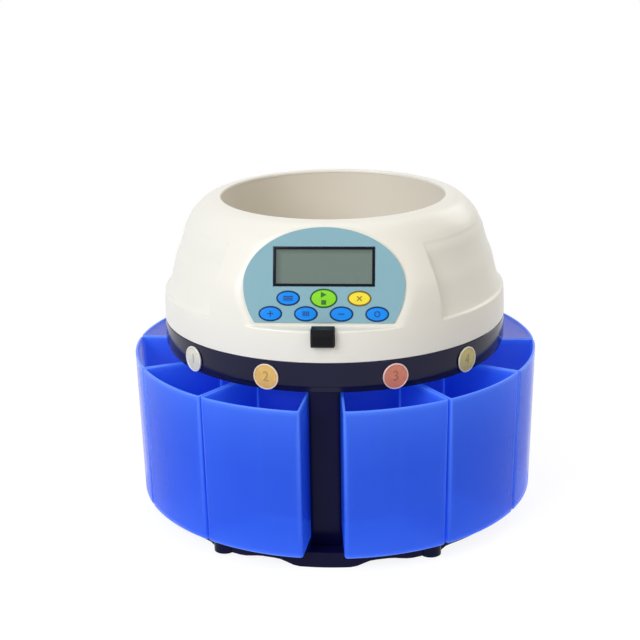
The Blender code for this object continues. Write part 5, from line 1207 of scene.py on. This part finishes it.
class SORTER_OT_base(bpy.types.Operator):
    """Make the drum, the front column, the rear housing, the tray and the feet"""

    bl_idname = "sorter.base"
    bl_label = "Base"

    def execute(self, context):
        base = sizes("base")
        black = moulded("black_satin", shade("black"), 0.24, grain=0.00001, mottle=0.2, Specular_IOR_Level=0.1)
        hole, roof, inside = 0.0113, DRUM_TOP - 0.003, base.drum_radius - base.wall
        drum = spun([(base.drum_radius, BOX_BOTTOM), (base.drum_radius, DRUM_TOP), (hole, DRUM_TOP), (hole, roof),
                     (inside, roof), (inside, BOX_BOTTOM)], 160, True)
        column = rounded(plate(column_outline(base), BOX_BOTTOM, DRUM_TOP), SOFT_EDGE, 3, 30.0)
        shell = made("base_shell", joined(drum, column))
        flat = math.sqrt(base.housing_radius ** 2 - (base.rear_flat / 2.0) ** 2)
        rear = made("rear_shell", rounded(plate(housing_outline(base, flat), BOX_BOTTOM, DRUM_TOP),
                                          SOFT_EDGE, 3, 30.0))
        lip, sockets = 0.0013, []
        for node, depth in (("power_inlet", 0.019), ("switch_bezel", 0.012), ("data_socket", 0.013)):
            low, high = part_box(node)
            sockets.append(block(low.x + lip, high.x - lip, flat - depth, flat + 0.003, low.z + lip, high.z - lip))
        carved(rear, joined(*sockets))
        dressed(edged(shell, FINE_EDGE, 2, 60.0), black, "base", "black_plastic", "base_body")
        dressed(rear, black, "base", "black_plastic")

        rim, under, lift = TRAY_RADIUS - base.tray_rim, TRAY_TOP - base.tray_plate, base.tray_lift
        tray = spun([(0.0, under), (rim, under), (rim, lift), (TRAY_RADIUS - SOFT_EDGE, lift),
                     (TRAY_RADIUS, lift + SOFT_EDGE), (TRAY_RADIUS, TRAY_TOP - SOFT_EDGE),
                     (TRAY_RADIUS - SOFT_EDGE, TRAY_TOP), (0.0, TRAY_TOP)], 192)
        for vertex in tray.verts:
            reach = vertex.co.xy.length
            if vertex.co.z < lift + SINK:
                vertex.co.z -= rim_drop(vertex.co.xy)
            if reach > rim - SINK:
                vertex.co.y = min(vertex.co.y, TRAY_BACK - TRAY_RADIUS + reach)
        foot_radius, foot_top = half_span("rubber_foot_1"), highest("rubber_foot_1").z
        inner, outer, mouth, cup_top = foot_radius + TOUCH_GAP, base.cup_radius, base.cup_bottom, TRAY_TOP - SINK
        cups = [shifted(spun([(0.0, under), (inner, under), (inner, mouth), (outer - FINE_EDGE, mouth),
                              (outer, mouth + FINE_EDGE), (outer, cup_top - SOFT_EDGE),
                              (outer - SOFT_EDGE, cup_top), (0.0, cup_top)], 48), spot.to_3d())
                for spot in foot_spots()]
        dressed(made("tray", joined(tray, *cups)), black, "base", "black_plastic", "base_tray")

        grey, tip = rubber("foot_rubber"), foot_radius - base.foot_taper
        for number, spot in enumerate(foot_spots(), 1):
            foot = spun([(0.0, FINE_EDGE), (tip - 0.002, 0.0), (tip - FINE_EDGE, 0.0), (tip, FINE_EDGE),
                         (foot_radius, mouth), (foot_radius, foot_top - FINE_EDGE),
                         (foot_radius - FINE_EDGE, foot_top), (0.0, foot_top)], 48)
            dressed(made(f"foot_{number}", shifted(foot, spot.to_3d())), grey, "base", "black_rubber",
                    f"rubber_foot_{number}")
        return {"FINISHED"}


def ribs(count, half, out, into, low, high, radius, segments):
    """Rounded ribs set out round the axis"""
    turns = [FULL_TURN * place / count for place in range(count)]
    return [turned(rounded(block(-half, half, -out, -into, low, high), radius, segments), turn) for turn in turns]


class SORTER_OT_rotor(bpy.types.Operator):
    """Make the sorting plate, the rotor, the feed disc and the knob"""

    bl_idname = "sorter.rotor"
    bl_label = "Sorting plate and rotor"

    def execute(self, context):
        steel = spun_metal("turned_steel", (0.55, 0.56, 0.58), 0.3)
        white = moulded("white_plastic", (0.72, 0.72, 0.70), 0.42)
        dark = moulded("knob_plastic", (0.012, 0.012, 0.016), 0.35, mottle=0.15)
        low, high = lowest("sorting_plate").z, highest("sorting_plate").z
        inner, outer, hole_place, least, most = 0.097, half_span("sorting_plate"), 0.128, 0.0084, 0.0131
        disc = made("plate_disc", spun([(inner, low), (outer, low), (outer, high), (inner, high)], 192, True))
        holes = [shifted(rod(least + (most - least) * place / (BOX_COUNT - 1), low - THROUGH, high + THROUGH, 48),
                         polar(hole_place, turn)) for place, turn in enumerate(box_turns())]
        carved(disc, joined(*holes))
        dressed(edged(disc, 0.0002, 2, 50.0), steel, "base", "steel", "sorting_plate")

        low, high = lowest("sorting_rotor").z, highest("sorting_rotor").z
        outer, hub, face = 0.095, 0.012, low + 0.0025
        wheel = spun([(SHAFT_HOLE, low), (outer, low), (outer, face), (hub, face), (hub, high),
                      (SHAFT_HOLE, high)], 160, True)
        fins = ribs(12, 0.002, 0.1385, 0.086, low + TOUCH_GAP, low + 0.004, 0.0008, 2)
        dressed(edged(made("rotor_wheel", joined(wheel, *fins)), FINE_EDGE, 2, 50.0), white, "rotor",
                "white_plastic", "sorting_rotor")

        low, high = lowest("feed_disc").z, highest("feed_disc").z
        outer, bevel, face = 0.090, 0.0008, low + 0.003
        disc = spun([(SHAFT_HOLE, low), (outer - bevel, low), (outer, low + bevel), (outer, face - bevel),
                     (outer - bevel, face), (SHAFT_HOLE, face)], 160, True)
        bars = ribs(3, 0.0025, 0.074, 0.016, face - SINK, high, 0.0009, 3)
        dressed(made("feed_plate", joined(disc, *bars)), white, "rotor", "white_plastic", "feed_disc")

        low, high = lowest("hopper_knob").z, highest("hopper_knob").z
        outer = half_span("hopper_knob")
        knob = spun([(SHAFT_HOLE, low), (outer - 0.0005, low), (outer, low + 0.0005), (outer, low + 0.005),
                     (outer - 0.001, low + 0.0068), (outer / 2.0 + 0.001, high - 0.0008),
                     (outer / 2.0 - 0.0006, high), (0.0, high)], 64)
        dressed(made("knob", knob), dark, "rotor", "black_plastic", "hopper_knob")
        return {"FINISHED"}


class SORTER_OT_rear(bpy.types.Operator):
    """Make the sockets, the power switch and the hinge pin at the rear"""

    bl_idname = "sorter.rear"
    bl_label = "Rear sockets and hinge pin"

    def execute(self, context):
        socket = moulded("socket_plastic", (0.018, 0.018, 0.020), 0.4, mottle=0.1)
        steel = metal("drawn_steel", (0.55, 0.56, 0.58), 0.3)
        for name, node, width, finish, body, slot in (
                ("inlet", "power_inlet", 0.0003, socket, "base", "socket_plastic"),
                ("bezel", "switch_bezel", 0.0004, socket, "base", "socket_plastic"),
                ("data_port", "data_socket", 0.0002, steel, "base", "steel"),
                ("rocker", "power_rocker", 0.0005, socket, "rocker", "black_plastic")):
            dressed(edged(made(name, cad_mesh(node)), width, 3, 35.0), finish, body, slot, node)
        half = half_span("hinge_pin")
        pin = on_hinge(rounded(rod(0.0015, -half, half, 24), FINE_EDGE, 2, 60.0))
        dressed(made("pin", pin), steel, "base", "steel", "hinge_pin")
        return {"FINISHED"}


class SORTER_OT_inside(bpy.types.Operator):
    """Give the working parts inside their finishes"""

    bl_idname = "sorter.inside"
    bl_label = "Working parts"

    def execute(self, context):
        finishes = (
            (metal("rolled_steel", (0.52, 0.53, 0.55), 0.32), ("main_shaft", "chassis_plate")),
            (metal("zinc_plate", (0.50, 0.50, 0.52), 0.35, (1.0, 1.0, 4.0), 400.0),
             [f"base_screw_{number}" for number in range(1, 5)]),
            (metal("bronze", (0.45, 0.28, 0.12), 0.4), ("lower_bearing", "upper_bearing")),
            (moulded("pulley_plastic", (0.72, 0.72, 0.70), 0.42), ("shaft_pulley", "motor_pulley")),
            (metal("motor_case", (0.32, 0.33, 0.35), 0.4, (1.0, 1.0, 8.0), 200.0), ("drive_motor",)),
            (circuit_board("board_lacquer"), ("power_board", "control_board", "sensor_board")),
            (rubber("belt_rubber"), ("drive_belt",)),
            (moulded("module_plastic", (0.10, 0.14, 0.12), 0.4), ("display_module",)))
        for finish, names in finishes:
            for name in names:
                materials = frame["nodes"][name].data.materials
                materials.clear()
                materials.append(finish.material)
        return {"FINISHED"}


def lamp(name, place, size, energy, tint=(1.0, 1.0, 1.0)):
    """A soft area lamp turned towards the machine's middle"""
    data = bpy.data.lights.new(name, "AREA")
    data.shape = "RECTANGLE"
    data.size, data.size_y = size
    data.energy = energy
    data.color = tint
    thing = bpy.data.objects.new(name, data)
    thing.location = place
    thing.rotation_euler = (Vector((0.0, AXIS_Y, 0.15)) - Vector(place)).to_track_quat("-Z", "Y").to_euler()
    bpy.context.scene.collection.objects.link(thing)


class SORTER_OT_stage(bpy.types.Operator):
    """Set up the camera, the lamps, the floor and the plain background"""

    bl_idname = "sorter.stage"
    bl_label = "Stage"

    def execute(self, context):
        stage, scene = sizes("stage"), context.scene
        scene.view_settings.view_transform = "Standard"
        data = bpy.data.cameras.new("camera")
        data.lens = stage.lens
        data.sensor_width = 36.0
        scene.camera = bpy.data.objects.new("camera", data)
        aim, side = Vector(stage.camera_aim).normalized(), Vector(stage.camera_side).normalized()
        turn = Matrix((side, side.cross(aim), -aim)).transposed()
        scene.camera.matrix_world = Matrix.Translation(stage.camera_place) @ turn.to_4x4()
        scene.collection.objects.link(scene.camera)

        lamp("key_lamp", (-1.3, -1.55, 1.4), (1.4, 1.4), stage.key)
        lamp("fill_lamp", (1.5, -1.0, 1.45), (0.8, 1.4), stage.fill, (1.0, 0.86, 0.64))
        lamp("top_lamp", (0.0, 0.2, 2.0), (1.8, 1.8), stage.top, (1.0, 0.97, 0.92))
        lamp("back_lamp", (1.2, 1.5, 1.2), (1.0, 1.0), stage.back)

        scene.world = bpy.data.worlds.new("studio")
        scene.world.use_nodes = True
        sky = Nodes(scene.world.node_tree)
        soft = sky.node("Background", {"Strength": stage.sky})
        white = sky.node("Background", {"Color": (1.0, 1.0, 1.0, 1.0), "Strength": 1.0})
        sky.node("OutputWorld", {"Surface": sky.node("MixShader", {0: sky.seen(), 1: soft, 2: white})})

        bm = bmesh.new()
        bmesh.ops.create_grid(bm, x_segments=1, y_segments=1, size=stage.floor_side / 2.0)
        floor = made("floor", bm)
        material = bpy.data.materials.new("pale_floor")
        material.use_nodes = True
        sheet = Nodes(material.node_tree)
        fade = sheet.node("MapRange", {"Value": sheet.reach(), "From Min": stage.fade_near,
                                       "From Max": stage.fade_far}, interpolation_type="SMOOTHSTEP")
        matt = sheet.node("BsdfDiffuse", {"Color": (0.8, 0.8, 0.8, 1.0)})
        faint = sheet.node("BsdfDiffuse", {"Color": (0.2, 0.2, 0.2, 1.0)})
        glow = sheet.node("Emission", {"Strength": 0.88})
        plain = sheet.node("Emission", {"Strength": 1.0})
        near = sheet.node("AddShader", {0: faint, 1: glow})
        shown = sheet.node("MixShader", {0: fade, 1: near, 2: plain})
        sheet.node("OutputMaterial", {"Surface": sheet.node("MixShader", {0: sheet.seen(), 1: matt, 2: shown})})
        floor.data.materials.append(material)
        return {"FINISHED"}


OPERATORS = [SORTER_OT_stage, SORTER_OT_lid, SORTER_OT_panel, SORTER_OT_latch, SORTER_OT_boxes, SORTER_OT_ring,
             SORTER_OT_labels, SORTER_OT_base, SORTER_OT_rotor, SORTER_OT_rear, SORTER_OT_inside]
GROUPS = {"sorter_lid": LidSizes, "sorter_ring": RingSizes, "sorter_boxes": BoxSizes, "sorter_base": BaseSizes,
          "sorter_panel": PanelSizes, "sorter_colours": FinishColours, "sorter_stage": StageSizes}


class SORTER_PT_pieces(bpy.types.Panel):
    """Lists what makes the coin sorter"""

    bl_idname = "SORTER_PT_pieces"
    bl_label = "Coin sorter"
    bl_space_type = "VIEW_3D"
    bl_region_type = "UI"
    bl_category = "Coin sorter"

    def draw(self, context):
        for operator in OPERATORS:
            self.layout.operator(operator.bl_idname)


def register():
    """Registers the sizes, the operators and the panel"""
    for name, group in GROUPS.items():
        bpy.utils.register_class(group)
        setattr(bpy.types.Scene, name, PointerProperty(type=group))
    for kind in OPERATORS + [SORTER_PT_pieces]:
        bpy.utils.register_class(kind)


def unregister():
    """Takes them away again"""
    for kind in reversed(OPERATORS + [SORTER_PT_pieces]):
        bpy.utils.unregister_class(kind)
    for name, group in GROUPS.items():
        delattr(bpy.types.Scene, name)
        bpy.utils.unregister_class(group)


def main():
    """Registers the add-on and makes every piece"""
    register()
    bpy.ops.sorter.stage()
    bpy.ops.sorter.lid()
    bpy.ops.sorter.panel()
    bpy.ops.sorter.latch()
    bpy.ops.sorter.boxes()
    bpy.ops.sorter.ring()
    bpy.ops.sorter.labels()
    bpy.ops.sorter.base()
    bpy.ops.sorter.rotor()
    bpy.ops.sorter.rear()
    bpy.ops.sorter.inside()


if __name__ == "__main__":
    main()
